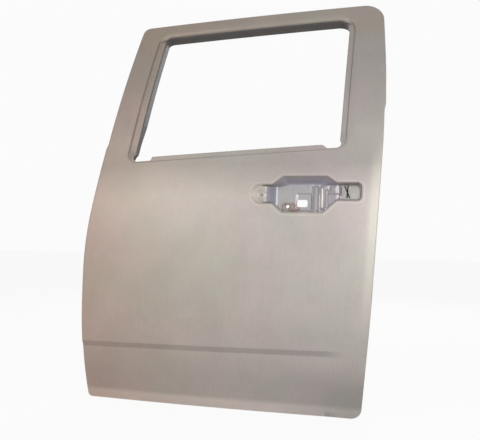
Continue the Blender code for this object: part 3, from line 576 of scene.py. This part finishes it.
def skinSteel():
    tree, shader = startMaterial("skin steel")
    place = skinPlaces(tree)
    press = addNode(tree, "ShaderNodeAttribute", attribute_name="press").outputs["Fac"]
    along = scaled(tree, place["X"], 0.0, 1.0)
    # bare steel, warmer toward the hinges
    base = ramp(tree, along, ((0.02, steel["front"]), (0.34, steel["middle"]), (0.66, steel["rear"])))
    colour = tinted(tree, 1.0, base, skinShades(tree, place, press))
    noise = {name: namedNoise(tree, name) for name in (*mottles, "grains", "waves")}
    for name, stops in mottles.items():
        colour = tinted(tree, 1.0, colour, ramp(tree, noise[name], stops))
    # painted shade with a cool reflected tint inside the handle pocket
    inCup = product(tree, patch(tree, place, *tintPatches["cup"]), rising(tree, press, *tintDepths["cup"]))
    colour = tinted(tree, inCup, colour, steel["cup"])
    for share, tint in pocketTints(tree, place, press):
        colour = tinted(tree, share, colour, tint)
    rusty = product(
        tree,
        patch(tree, place, *tintPatches["rust"]),
        rising(tree, press, *tintDepths["rust"]),
        scaled(tree, ramp(tree, noise["grains"], ((0.36, 0.25), (0.60, 1.0))), 0.0, 1.0),
    )
    tree.links.new(tinted(tree, rusty, colour, steel["rust"]), shader.inputs["Base Color"])
    shader.inputs["Metallic"].default_value = steel["metallic"]
    rough = scaled(tree, noise["streaks"], *steel["roughness"])
    smoother = worked(tree, "SUBTRACT", 1.0, worked(tree, "MULTIPLY", inCup, steel["cupGloss"]))
    tree.links.new(product(tree, rough, smoother), shader.inputs["Roughness"])
    swell = bumped(tree, noise["waves"], steel["swell"])
    scratch = bumped(tree, noise["streaks"], steel["scratch"])
    tree.links.new(swell.outputs["Normal"], scratch.inputs["Normal"])
    tree.links.new(scratch.outputs["Normal"], shader.inputs["Normal"])


def windowWallShade(tree):
    # painted shade on the walls round the window that face sideways
    place = skinPlaces(tree)
    facing = addNode(tree, "ShaderNodeSeparateXYZ")
    tree.links.new(addNode(tree, "ShaderNodeNewGeometry").outputs["Normal"], facing.inputs["Vector"])
    across = worked(tree, "ABSOLUTE", facing.outputs["Y"], 0.0)
    frontSide = slanted(tree, place["X"], place["Z"], windowWalls["frontSlope"])
    topSide = slanted(tree, place["Z"], place["X"], windowWalls["topSlope"])
    return product(
        tree,
        rising(tree, across, *windowWalls["facing"]),
        rising(tree, place["Z"], *windowWalls["belt"]),
        rising(tree, frontSide, *windowWalls["front"]),
        rising(tree, topSide, *windowWalls["top"]),
        rising(tree, place["X"], *windowWalls["rear"]),
    )


def plainSteel(name, dark, light, roughness, metallic=0.5, shadedWalls=False):
    tree, shader = startMaterial(name)
    clouds = namedNoise(tree, "plainClouds")
    base = ramp(tree, clouds, ((0.30, dark), (0.70, light)))
    specks = namedNoise(tree, "plainSpecks")
    speckled = tinted(tree, 1.0, base, ramp(tree, specks, ((0.3, 0.88), (0.7, 1.06))))
    if shadedWalls:
        # painted shade on the window's side walls
        speckled = tinted(tree, windowWallShade(tree), speckled, windowWalls["shade"])
    tree.links.new(speckled, shader.inputs["Base Color"])
    tree.links.new(scaled(tree, clouds, *roughness), shader.inputs["Roughness"])
    shader.inputs["Metallic"].default_value = metallic
    dimples = bumped(tree, specks, steel["dimples"])
    tree.links.new(dimples.outputs["Normal"], shader.inputs["Normal"])


skinSteel()
# dark and light colour, lowest and highest roughness, and how metallic
plainSteel("panel steel", (0.290, 0.265, 0.245, 1), (0.385, 0.355, 0.325, 1), (0.37, 0.55), shadedWalls=True)
plainSteel("plate steel", (0.25, 0.24, 0.225, 1), (0.34, 0.325, 0.30, 1), (0.34, 0.52))
plainSteel("beam steel", (0.020, 0.020, 0.022, 1), (0.035, 0.034, 0.034, 1), (0.32, 0.50), 0.2)
plainSteel("channel steel", (0.13, 0.13, 0.125, 1), (0.20, 0.19, 0.18, 1), (0.30, 0.48), 0.6)
plainSteel("plated steel", (0.34, 0.31, 0.22, 1), (0.46, 0.42, 0.30, 1), (0.22, 0.40), 0.8)
plainSteel("mastic", (0.010, 0.010, 0.010, 1), (0.022, 0.021, 0.020, 1), (0.67, 0.85), 0.0)
print("materials made")

# outer skin: outline, hem, window reveal and belt strip

outline = {
    "corners": (
        ((0, 0), 0.012, 8),
        ((0.930, 0), 0.030, 10),
        ((0.958, 0.243), 3.0, 8),
        ((0.992, 0.636), 0.8, 8),
        ((0.995, 0.7065), 0.008, 3),
        ((0.9995, 0.7235), 0.008, 3),
        ((1, 0.819), 2.0, 8),
        ((0.992, 0.9994), 0.055, 14),
        ((0.117, 0.9695), 0.024, 14),
        ((0.053, 0.633), 0.008, 3),
        ((0.048, 0.6255), 0.008, 3),
        ((0, 0.3975), 1.2, 12),
    ),
    "tightest": 0.004,
    "longestRun": 0.020,
    "hemInset": 0.0003,
    "hemWidth": 0.012,
    "hemDepth": 0.0034,
    "hemSteps": 7,
}

window = {
    "corners": (
        ((0.1285, 0.584), 0.030, 14),
        ((0.875, 0.614), 0.030, 14),
        ((0.9005, 0.969), 0.048, 30),
        ((0.187, 0.944), 0.042, 16),
    ),
    "roll": 0.018,
    "rollDrop": 0.0025,
    "slant": 0.003,
    "topSlant": 0.009,
    "topStep": 0.0055,
    "ledgeDepth": 0.010,
    "frontLedge": 0.0215,
    "rearLedge": 0.017,
    "topLedge": 0.014,
    "ledgeStart": 0.020,
    "returnDepth": 0.012,
    "pillarStart": 0.050,
    "beltRoll": 0.003,
    "beltJoggle": 0.0025,
    "beltSlant": 0.002,
    "stripHeight": 0.015,
    "stripRoot": 0.004,
    "stripFront": 0.192,
    "stripRear": 0.676,
    "notchRamp": 0.008,
    "rearNotchRamp": 0.017,
    "rampShares": (0, 0.25, 0.5, 0.75, 1),
    "flangeStart": 0.028,
    "rollSteps": 5,
    "wallBends": ((0.12, 0.10), (0.30, 0.32), (0.60, 0.70), (0.80, 0.88), (1.0, 0.97)),
    "ledgeBends": (0.12, 0.38, 0.68, 1.0),
    "flangeRoll": 0.0015,
    "flangeBends": ((-0.0004, 0.04), (0.0002, 0.14), (0.0004, 1.0)),
    "wrinkleMiddle": 0.728,
    "wrinkleStart": 1.0,
    "wrinkleFade": 0.05,
    "wrinkleLean": 0.9,
    "wrinkleReach": 0.014,
    "wrinklePitch": 0.0085,
    "wrinkleRise": 0.0008,
}


def doorOutline(inset):
    places = [atShare(share) for share, _, _ in outline["corners"]]
    moved = offsetLoop(places, inset)
    drawn, corners = [], []
    for index, (_, radius, steps) in enumerate(outline["corners"]):
        before = places[index] - places[index - 1]
        ahead = places[(index + 1) % len(places)] - places[index]
        tightened = radius - inset if before.cross(ahead) > 0 else radius + inset
        drawn.append((places[index], radius, steps))
        corners.append((moved[index], max(tightened, outline["tightest"]), steps))
    whole, part = roundedLoop(drawn), roundedLoop(corners)
    points = []
    for index, point in enumerate(part):
        run = (whole[(index + 1) % len(whole)] - whole[index]).length
        count = max(1, math.ceil(run / outline["longestRun"]))
        ahead = part[(index + 1) % len(part)]
        points.extend(point.lerp(ahead, step / count) for step in range(count))
    return points


def edgeRise(x, z):
    # the face swells a little before it turns into the rear edge
    low, high = atShare(outline["corners"][2][0]), atShare(outline["corners"][3][0])
    inward = max(blend(low.x, high.x, (z - low.y) / (high.y - low.y)) - x, 0.0)
    rolled = 1 - max(1 - inward / rearRoll["reach"], 0.0) ** 2
    rolled *= 1 - ease((inward - rearRoll["reach"]) / rearRoll["spread"])
    level = ease((z - rearRoll["low"]) / rearRoll["fade"] + 1)
    level *= ease((rearRoll["high"] - z) / rearRoll["fade"] + 1)
    return rearRoll["rise"] * rolled * level


def beltLine(x):
    front, rear = (atShare(share) for share, _, _ in window["corners"][:2])
    return blend(front.y, rear.y, (x - front.x) / (rear.x - front.x))


def windowOutline():
    loop = roundedLoop([(atShare(share), radius, steps) for share, radius, steps in window["corners"]])
    ramps = []
    ends = ((window["stripFront"], -window["notchRamp"]), (window["stripRear"], window["rearNotchRamp"]))
    for place, reach in ends:
        ramps += [place + reach * share for share in window["rampShares"]]
    return withPlaces(dividedLoop(loop, outline["longestRun"]), sorted(ramps))


def pillarShare(point, start):
    return ease((point.y - beltLine(point.x)) / start)


def stripShare(x):
    front = (x - window["stripFront"] + window["notchRamp"]) / window["notchRamp"]
    rear = (window["stripRear"] + window["rearNotchRamp"] - x) / window["rearNotchRamp"]
    return ease(min(front, rear))


def windowRuns(loop):
    return [(loop[(index + 1) % len(loop)] - loop[index - 1]).normalized() for index in range(len(loop))]


def ledgeWidths(loop):
    widths = []
    for point, run in zip(loop, windowRuns(loop)):
        side = window["rearLedge"] if run.y > 0 else window["frontLedge"]
        pillar = blend(window["topLedge"], side, run.y**2)
        strip = blend(window["stripRoot"], window["stripHeight"], stripShare(point.x))
        widths.append(blend(strip, pillar, pillarShare(point, window["ledgeStart"])))
    return widths


def wrinkle(point, share):
    # draw wrinkles that cross the ledge slantwise at its rear top corner
    near = hump(point.x, window["wrinkleMiddle"], window["wrinkleReach"])
    near *= ease((point.y - window["wrinkleStart"]) / window["wrinkleFade"])
    phase = 2 * math.pi * (point.x / window["wrinklePitch"] - window["wrinkleLean"] * share)
    return window["wrinkleRise"] * near * math.sin(phase)


def windowRings(bm):
    loop = windowOutline()
    pillars = [pillarShare(point, window["pillarStart"]) for point in loop]
    tops = [share * max(-run.x, 0) ** 2 for share, run in zip(pillars, windowRuns(loop))]
    rolls = [blend(window["beltRoll"], window["roll"], share) for share in pillars]
    slants = [blend(window["beltSlant"], window["slant"], share) for share in pillars]
    slants = [blend(slant, window["topSlant"], top) for slant, top in zip(slants, tops)]
    depths = [blend(window["beltJoggle"], window["ledgeDepth"], share) for share in pillars]
    steps = [blend(depth, window["topStep"], top) for depth, top in zip(depths, tops)]
    widths = ledgeWidths(loop)
    face = ring = drawLoop(bm, offsetLoop(loop, [-roll for roll in rolls]))
    for step in range(1, window["rollSteps"] + 1):  # the rounded edge of the face
        share = step / window["rollSteps"]
        falls = [window["rollDrop"] * pillar * share**2 for pillar in pillars]
        ring = carryLoop(bm, ring, offsetLoop(loop, [-roll * (1 - share) for roll in rolls]), falls)
    drops = [window["rollDrop"] * pillar for pillar in pillars]
    for inset, fall in window["wallBends"]:  # wall, with soft bends
        insets = [slant * inset for slant in slants]
        falls = [blend(drop, foot, fall) for drop, foot in zip(drops, steps)]
        ring = carryLoop(bm, ring, offsetLoop(loop, insets), falls)
    for share in window["ledgeBends"]:  # ledge for the glass run
        insets = [blend(slant, width - window["flangeRoll"], share) for slant, width in zip(slants, widths)]
        presses = [blend(foot, deep, share) for foot, deep in zip(steps, depths)]
        presses = [press + wrinkle(point, share) for press, point in zip(presses, loop)]
        ring = carryLoop(bm, ring, offsetLoop(loop, insets), presses)
    turns = [pillarShare(point, window["flangeStart"]) for point in loop]
    farthest = window["ledgeDepth"] + window["returnDepth"]
    ends = [blend(deep + door["sheet"], farthest, share) for deep, share in zip(depths, turns)]
    for inset, fall in window["flangeBends"]:  # flange turned in round the opening
        turned = offsetLoop(loop, [width + inset for width in widths])
        ring = carryLoop(bm, ring, turned, [blend(deep, end, fall) for deep, end in zip(depths, ends)])
    return face


# handle pocket, set out from its middle
pocket = {
    "middle": (0.749, 0.5077),
    "front": 0.0865,
    "rear": 0.085,
    "rise": 0.0485,
    "fall": 0.0505,
    "slant": 0.026,
    "frontArm": 0.056,
    "rearArm": 0.065,
    "frontArmHeight": 0.052,
    "rearArmHeight": 0.0475,
    "rearArmLift": 0.0065,
    "armRadius": 0.012,
    "radius": 0.010,
    "softCorner": 0.014,
    "lip": 0.003,
    "depth": 0.030,
    "bossDepth": 0.004,
    "armDepth": 0.016,
    "ceilingSlant": 0.022,
    "draft": 0.005,
    "bossSlopeStart": -0.1040,
    "bossSlope": 0.024,
    "bossSoftness": 0.22,
    "armSlopeStart": 0.056,
    "armSlope": 0.037,
    "armSlopeShare": 0.9,
    "armSlopeLead": 0.05,
    "rodHole": ((-0.008, -0.024), 0.028, 0.020, 0.005),
    "pinHole": ((-0.0475, -0.033), 0.0045),
    "screwHole": ((-0.115, -0.003), 0.0035),
    "armWindow": ((0.119, 0.0075), 0.048, 0.036, 0.008),
    "meshPitch": 0.0020,
    "faceEdge": 0.0085,
    "cornerSteps": 5,
    "holeSteps": 24,
    "lipBead": ((0.0070, -0.00018), (0.0058, -0.00022), (0.0046, 0.0)),
    "lipBends": ((-1.0, 0.02), (-0.62, 0.08), (-0.28, 0.24), (0.0, 0.50)),
    "wallBends": (
        (0.10, 0.13), (0.22, 0.27), (0.38, 0.44), (0.54, 0.61),
        (0.70, 0.78), (0.82, 0.89), (0.92, 0.965), (1.0, 1.0),
    ),
}


def pocketCorners(inset, ceiling, tightening, softening=0.0):
    middle = atShare(pocket["middle"])
    frontHalf = pocket["frontArmHeight"] / 2 - inset
    rearHalf = pocket["rearArmHeight"] / 2 - inset
    front, rear = -pocket["front"], pocket["rear"]
    top, bottom = pocket["rise"] - inset - ceiling, -pocket["fall"] + inset
    slant, lift, small = pocket["slant"], pocket["rearArmLift"], pocket["radius"]
    places = (
        ((front - pocket["frontArm"] + inset, -frontHalf), frontHalf * 0.98, 12),
        ((front, -frontHalf), small, 6),
        ((front + slant, bottom), small, 6),
        ((rear - slant - small, bottom), small, 6),
        ((rear, lift - rearHalf), small, 6),
        ((rear + pocket["rearArm"] - inset, lift - rearHalf), pocket["armRadius"] - tightening, 8),
        ((rear + pocket["rearArm"] - inset, lift + rearHalf), pocket["armRadius"] - tightening, 8),
        ((rear, lift + rearHalf), small, 6),
        ((rear - slant - ceiling, top), small + softening, 10),
        ((front + slant + ceiling, top), small + softening, 10),
        ((front, frontHalf), small, 6),
        ((front - pocket["frontArm"] + inset, frontHalf), frontHalf * 0.98, 12),
    )
    return [(middle + Vector(place), radius, steps) for place, radius, steps in places]


def pocketBed(x):
    along = x - atShare(pocket["middle"]).x
    down = fold((along - pocket["bossSlopeStart"]) / pocket["bossSlope"], pocket["bossSoftness"])
    rise = (along - pocket["armSlopeStart"]) / pocket["armSlope"]
    up = ease(rise * pocket["armSlopeShare"] + pocket["armSlopeLead"])
    return blend(blend(pocket["bossDepth"], pocket["depth"], down), pocket["armDepth"], up)


def band(value, low, high, soft):
    return ease((value - low) / soft + 0.5) * ease((high - value) / soft + 0.5)


# pressed details of the pocket's floor: how much deeper, then where and how wide or soft
floorForm = {
    "rings": ((0.0008, 0.0095, 0.0018), (-0.0009, 0.0130, 0.0016), (0.0009, 0.0165, 0.0018)),
    "seat": (-0.0008, 0.0080, 0.003),
    "ringsEnd": 0.530,
    "pads": (
        (0.0024, (0.6105, 0.6500, 0.002), (0.545, 0.5970, 0.002)),  # round the rod hole
        (0.0045, (0.6560, 0.6680, 0.004), (0.548, 0.6180, 0.006)),  # valley beside it
        (0.0032, (0.6950, 0.7262, 0.0022), (0.570, 0.5965, 0.0022)),  # lower step at the rear
    ),
    "ridges": (
        (-0.0035, (0.6525, 0.0022), (0.555, 0.621, 0.006)),
        (-0.0018, (0.6690, 0.0016), (0.552, 0.596, 0.006)),
        (-0.0065, (0.6795, 0.0060), (0.556, 0.6160, 0.010)),  # rounded rib
        (0.0035, (0.6915, 0.0028), (0.560, 0.6080, 0.008)),
        (-0.0026, (0.7035, 0.0016), (0.602, 0.614, 0.004)),
        (-0.0026, (0.7125, 0.0016), (0.602, 0.614, 0.004)),
        (0.0030, (0.7262, 0.0013), (0.580, 0.6260, 0.004)),
    ),
    "dimple": (-0.0022, (0.7158, 0.6210), 0.0022),
    "footBead": (-0.0016, (0.5520, 0.0016), (0.585, 0.672, 0.006)),
}


def pocketForm(x, z):
    deep = 0.0
    if x < floorForm["ringsEnd"]:  # rings round the screw hole
        reach = (Vector((x, z)) - atShare(pocket["middle"]) - Vector(pocket["screwHole"][0])).length
        for rise, place, width in floorForm["rings"]:
            deep += rise * hump(reach, place, width)
        rise, place, soft = floorForm["seat"]
        deep += rise * ease((place - reach) / soft)
    for rise, across, height in floorForm["pads"]:
        deep += rise * band(x, *across) * band(z, *height)
    for rise, across, height in floorForm["ridges"]:
        deep += rise * hump(x, *across) * band(z, *height)
    rise, place, width = floorForm["dimple"]
    deep += rise * hump((Vector((x, z)) - Vector(place)).length, 0.0, width)
    rise, height, across = floorForm["footBead"]
    return deep + rise * hump(z, *height) * band(x, *across)


def pocketRings(bm):
    middle = atShare(pocket["middle"])
    mouth = roundedLoop(pocketCorners(0, 0, 0))
    draft = pocket["draft"]
    floorLoop = roundedLoop(pocketCorners(draft, pocket["ceilingSlant"] - draft, draft, pocket["softCorner"]))
    beds = [pocketBed(point.x) for point in floorLoop]
    face = ring = drawLoop(bm, offsetLoop(mouth, -pocket["faceEdge"]))
    for outset, press in pocket["lipBead"]:  # faint bead round the lip
        ring = carryLoop(bm, ring, offsetLoop(mouth, -outset), press)
    for inset, drop in pocket["lipBends"]:  # rounded lip
        ring = carryLoop(bm, ring, offsetLoop(mouth, pocket["lip"] * inset), pocket["lip"] * drop)
    start = pocket["lip"] * 0.5
    for share, fall in pocket["wallBends"]:
        loop = [point.lerp(other, share) for point, other in zip(mouth, floorLoop)]
        ring = carryLoop(bm, ring, loop, [blend(start, bed, fall) for bed in beds])
    holes = []
    for key in ("rodHole", "pinHole", "screwHole", "armWindow"):
        place, *sizes = pocket[key]
        centre = middle + Vector(place)
        if len(sizes) > 1:  # length, height and corner radius
            holes.append(drawLoop(bm, boxLoop(centre, *sizes, pocket["cornerSteps"])))
        else:
            holes.append(drawLoop(bm, circleLoop(centre, *sizes, pocket["holeSteps"])))
    faces = fillFace(bm, [ring, *holes])
    low = middle + Vector((-pocket["front"] - pocket["frontArm"], -pocket["fall"]))
    high = middle + Vector((pocket["rear"] + pocket["rearArm"], pocket["rise"]))
    for x in spread(low.x, high.x, pocket["meshPitch"]):
        faces = cutFaces(bm, faces, (x, 0, 0), (1, 0, 0))
    for z in spread(low.y, high.y, pocket["meshPitch"]):
        faces = cutFaces(bm, faces, (0, 0, z), (0, 0, 1))
    rim = set(ring)
    for vert in {vert for piece in faces for vert in piece.verts}:
        vert.co.y = pocketBed(vert.co.x)
        if vert not in rim:
            vert.co.y += pocketForm(vert.co.x, vert.co.z)
    return face, faces


def shapeSkin(bm):
    pressed = bm.verts.layers.float.new("press")
    for vert in bm.verts:
        x, press, z = vert.co
        vert[pressed] = press
        vert.co.y += skinDepth(x, z) - edgeRise(x, z) * (1 - ease(press / outline["hemDepth"]))


def outerSkin():
    bm = bmesh.new()
    bm.edges.layers.int.new("filling")
    bend, held = outline["hemDepth"] / 2, outline["hemInset"]
    ring = face = drawLoop(bm, doorOutline(bend + held))
    for step in range(1, outline["hemSteps"] + 1):  # the fold of the hem
        turn = math.pi * step / outline["hemSteps"]
        folded = doorOutline(held + bend * (1 - math.sin(turn)))
        ring = carryLoop(bm, ring, folded, bend * (1 - math.cos(turn)))
    carryLoop(bm, ring, doorOutline(outline["hemWidth"]), outline["hemDepth"])
    pocketFace, bed = pocketRings(bm)
    fillFace(bm, [face, windowRings(bm), pocketFace])
    bedTag = set(bed)
    for x in spread(0, door["width"], door["meshPitch"]):
        cutFaces(bm, [piece for piece in bm.faces if piece not in bedTag], (x, 0, 0), (1, 0, 0))
    for z in spread(0, door["height"], door["meshPitch"]):
        cutFaces(bm, [piece for piece in bm.faces if piece not in bedTag], (0, 0, z), (0, 0, 1))
    tilt = (-crease["climb"] / door["width"], 0, 1)
    for share in crease["cuts"]:
        low = [piece for piece in bm.faces if piece.calc_center_median().z < crease["cutsBelow"]]
        low = [piece for piece in low if piece not in bedTag]
        cutFaces(bm, low, (0, 0, crease["height"] - crease["drop"] * share), tilt)
    dropFilling(bm)
    shapeSkin(bm)
    bmesh.ops.recalc_face_normals(bm, faces=bm.faces)
    if max(bm.faces, key=lambda piece: piece.calc_area()).normal.y > 0:
        bmesh.ops.reverse_faces(bm, faces=bm.faces)
    bmesh.ops.translate(bm, verts=bm.verts, vec=hang)
    skin = makePiece("skin", bm, "skin steel", thickness=door["sheet"], sharp=40)
    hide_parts("outer_skin")
    return skin


skinPiece = outerSkin()
print("skin made", len(skinPiece.data.polygons))

# the blind nut behind the screw hole of the handle pocket
screwNut = {
    "radius": 0.0075,
    "rimStart": 0.0012,
    "rimEnd": 0.0026,
    "collar": 0.0045,
    "collarStart": 0.0030,
    "length": 0.009,
    "tip": 0.001,
    "taper": 0.7,
    "clearance": 0.0008,
    "segments": 32,
}


def handleNut():
    place = atShare(pocket["middle"]) + Vector(pocket["screwHole"][0])
    back = skinDepth(place.x, place.y) + pocket["bossDepth"] + door["sheet"] + screwNut["clearance"]
    radius, collar, end = screwNut["radius"], screwNut["collar"], screwNut["length"] + screwNut["tip"]
    profile = (
        (0.0, screwNut["rimStart"]),
        (radius, screwNut["rimStart"]),
        (radius, screwNut["rimEnd"]),
        (collar, screwNut["collarStart"]),
        (collar, screwNut["length"]),
        (collar * screwNut["taper"], end),
        (0.0, end),
    )
    bm = bmesh.new()
    verts = [bm.verts.new((*point, 0)) for point in profile]
    edges = [bm.edges.new(pair) for pair in zip(verts, verts[1:])]
    bmesh.ops.spin(
        bm, geom=[*verts, *edges], cent=(0, 0, 0), axis=(0, 1, 0), angle=2 * math.pi,
        steps=screwNut["segments"], use_merge=True,
    )
    bmesh.ops.remove_doubles(bm, verts=bm.verts, dist=door["merge"])
    bmesh.ops.recalc_face_normals(bm, faces=bm.faces)
    bmesh.ops.translate(bm, verts=bm.verts, vec=hang + Vector((place.x, back, place.y)))
    return makePiece("screwNut", bm, "plate steel")


handleNut()
print("screw nut made")

# the solids that keep their shape take their finish here
finishes = {
    "inner_panel": "panel steel",
    "impact_beam": "beam steel",
    "front_glass_channel": "channel steel",
    "rear_glass_channel": "channel steel",
    "mastic_pad_1": "mastic",
    "mastic_pad_2": "mastic",
    "mastic_pad_3": "mastic",
}
for name, node in nodes.items():
    finish = "plated steel" if "nut" in name else finishes.get(name, "plate steel")
    node.data.materials.clear()
    node.data.materials.append(bpy.data.materials[finish])

# floor, light and camera
view = {
    "place": (0.8028, -1.4886, 0.4800),
    "yaw": 0.2230,
    "pitch": 0.0279,
    "roll": 0.0168,
    "lens": 42.65,
    "sensor": 36,
    "skyLight": 0.36,
    "skyColour": (1.0, 0.985, 0.96, 1),
    "backdrop": (0.965, 0.965, 0.965, 1),
    "floorSize": 12,
    "floorColour": (0.80, 0.80, 0.79, 1),
    "floorRoughness": 0.9,
    "floorWhite": 0.91,
    "floorDrop": 0.0005,
}

# place, aim, size and power
lamps = {
    "key right": ((1.9, -2.4, 1.35), (0.4, 0, 0.15), (1.4, 1.2), 34),
    "key left": ((-0.9, -2.6, 1.35), (0.4, 0, 0.15), (1.4, 1.2), 24),
    "rear strip": ((1.6, -2.5, 0.35), (0.8, 0, 0.05), (0.35, 1.2), 10),
    "back": ((0.4, 2.6, 1.3), (0.4, 0, 0.15), (2.0, 1.4), 26),
}


def sightRays(tree):
    # 1 for what the camera, gloss and glass see, 0 for the light that falls on things
    path = addNode(tree, "ShaderNodeLightPath")
    gloss = worked(tree, "MAXIMUM", path.outputs["Is Camera Ray"], path.outputs["Is Glossy Ray"])
    return worked(tree, "MAXIMUM", gloss, path.outputs["Is Transmission Ray"])


def mixShaders(tree, share, first, second):
    mixer = addNode(tree, "ShaderNodeMixShader")
    tree.links.new(share, mixer.inputs[0])
    tree.links.new(first, mixer.inputs[1])
    tree.links.new(second, mixer.inputs[2])
    return mixer.outputs[0]


def makeWorld():
    world = bpy.data.worlds.new("studio")
    world.use_nodes = True
    bpy.context.scene.world = world
    tree = world.node_tree
    soft = tree.nodes["Background"]
    soft.inputs["Color"].default_value = view["skyColour"]
    soft.inputs["Strength"].default_value = view["skyLight"]
    white = addNode(tree, "ShaderNodeBackground", Strength=1.0)
    white.inputs["Color"].default_value = view["backdrop"]
    seen = mixShaders(tree, sightRays(tree), soft.outputs[0], white.outputs[0])
    tree.links.new(seen, tree.nodes["World Output"].inputs["Surface"])


def makeFloor():
    bm = bmesh.new()
    bmesh.ops.create_grid(bm, x_segments=1, y_segments=1, size=view["floorSize"])
    bmesh.ops.translate(bm, verts=bm.verts, vec=(0, 0, cadBox[0][2] - view["floorDrop"]))
    mesh = bpy.data.meshes.new("floor")
    bm.to_mesh(mesh)
    bm.free()
    floor = bpy.data.objects.new("floor", mesh)
    bpy.context.scene.collection.objects.link(floor)
    tree, shader = startMaterial("pale floor")
    shader.inputs["Base Color"].default_value = view["floorColour"]
    shader.inputs["Roughness"].default_value = view["floorRoughness"]
    white = addNode(tree, "ShaderNodeEmission", Strength=1.0)
    white.inputs["Color"].default_value = (1, 1, 1, 1)
    share = worked(tree, "MULTIPLY", sightRays(tree), view["floorWhite"])
    seen = mixShaders(tree, share, shader.outputs[0], white.outputs[0])
    tree.links.new(seen, tree.nodes["Material Output"].inputs["Surface"])
    floor.data.materials.append(bpy.data.materials["pale floor"])


def makeLamp(name, place, aim, size, power):
    lamp = bpy.data.lights.new(name, "AREA")
    lamp.shape = "RECTANGLE"
    lamp.size, lamp.size_y = size
    lamp.energy = power
    holder = bpy.data.objects.new(name, lamp)
    holder.location = place
    holder.rotation_euler = (Vector(aim) - Vector(place)).to_track_quat("-Z", "Y").to_euler()
    bpy.context.scene.collection.objects.link(holder)


def makeCamera():
    camera = bpy.data.objects.new("camera", bpy.data.cameras.new("camera"))
    bpy.context.scene.collection.objects.link(camera)
    camera.data.lens = view["lens"]
    camera.data.sensor_width = view["sensor"]
    yaw, pitch, roll = view["yaw"], view["pitch"], view["roll"]
    ahead = Vector((-math.sin(yaw) * math.cos(pitch), math.cos(yaw) * math.cos(pitch), math.sin(pitch)))
    level = Vector((math.cos(yaw), math.sin(yaw), 0))
    upright = level.cross(ahead)
    right = level * math.cos(roll) + upright * math.sin(roll)
    up = upright * math.cos(roll) - level * math.sin(roll)
    turn = Matrix((right, up, -ahead)).transposed().to_4x4()
    camera.matrix_world = Matrix.Translation(Vector(view["place"]) + hang) @ turn
    bpy.context.scene.camera = camera


makeWorld()
makeFloor()
for name, settings in lamps.items():
    makeLamp(name, *settings)
makeCamera()
bpy.context.scene.view_settings.view_transform = "Standard"
print("stage set")
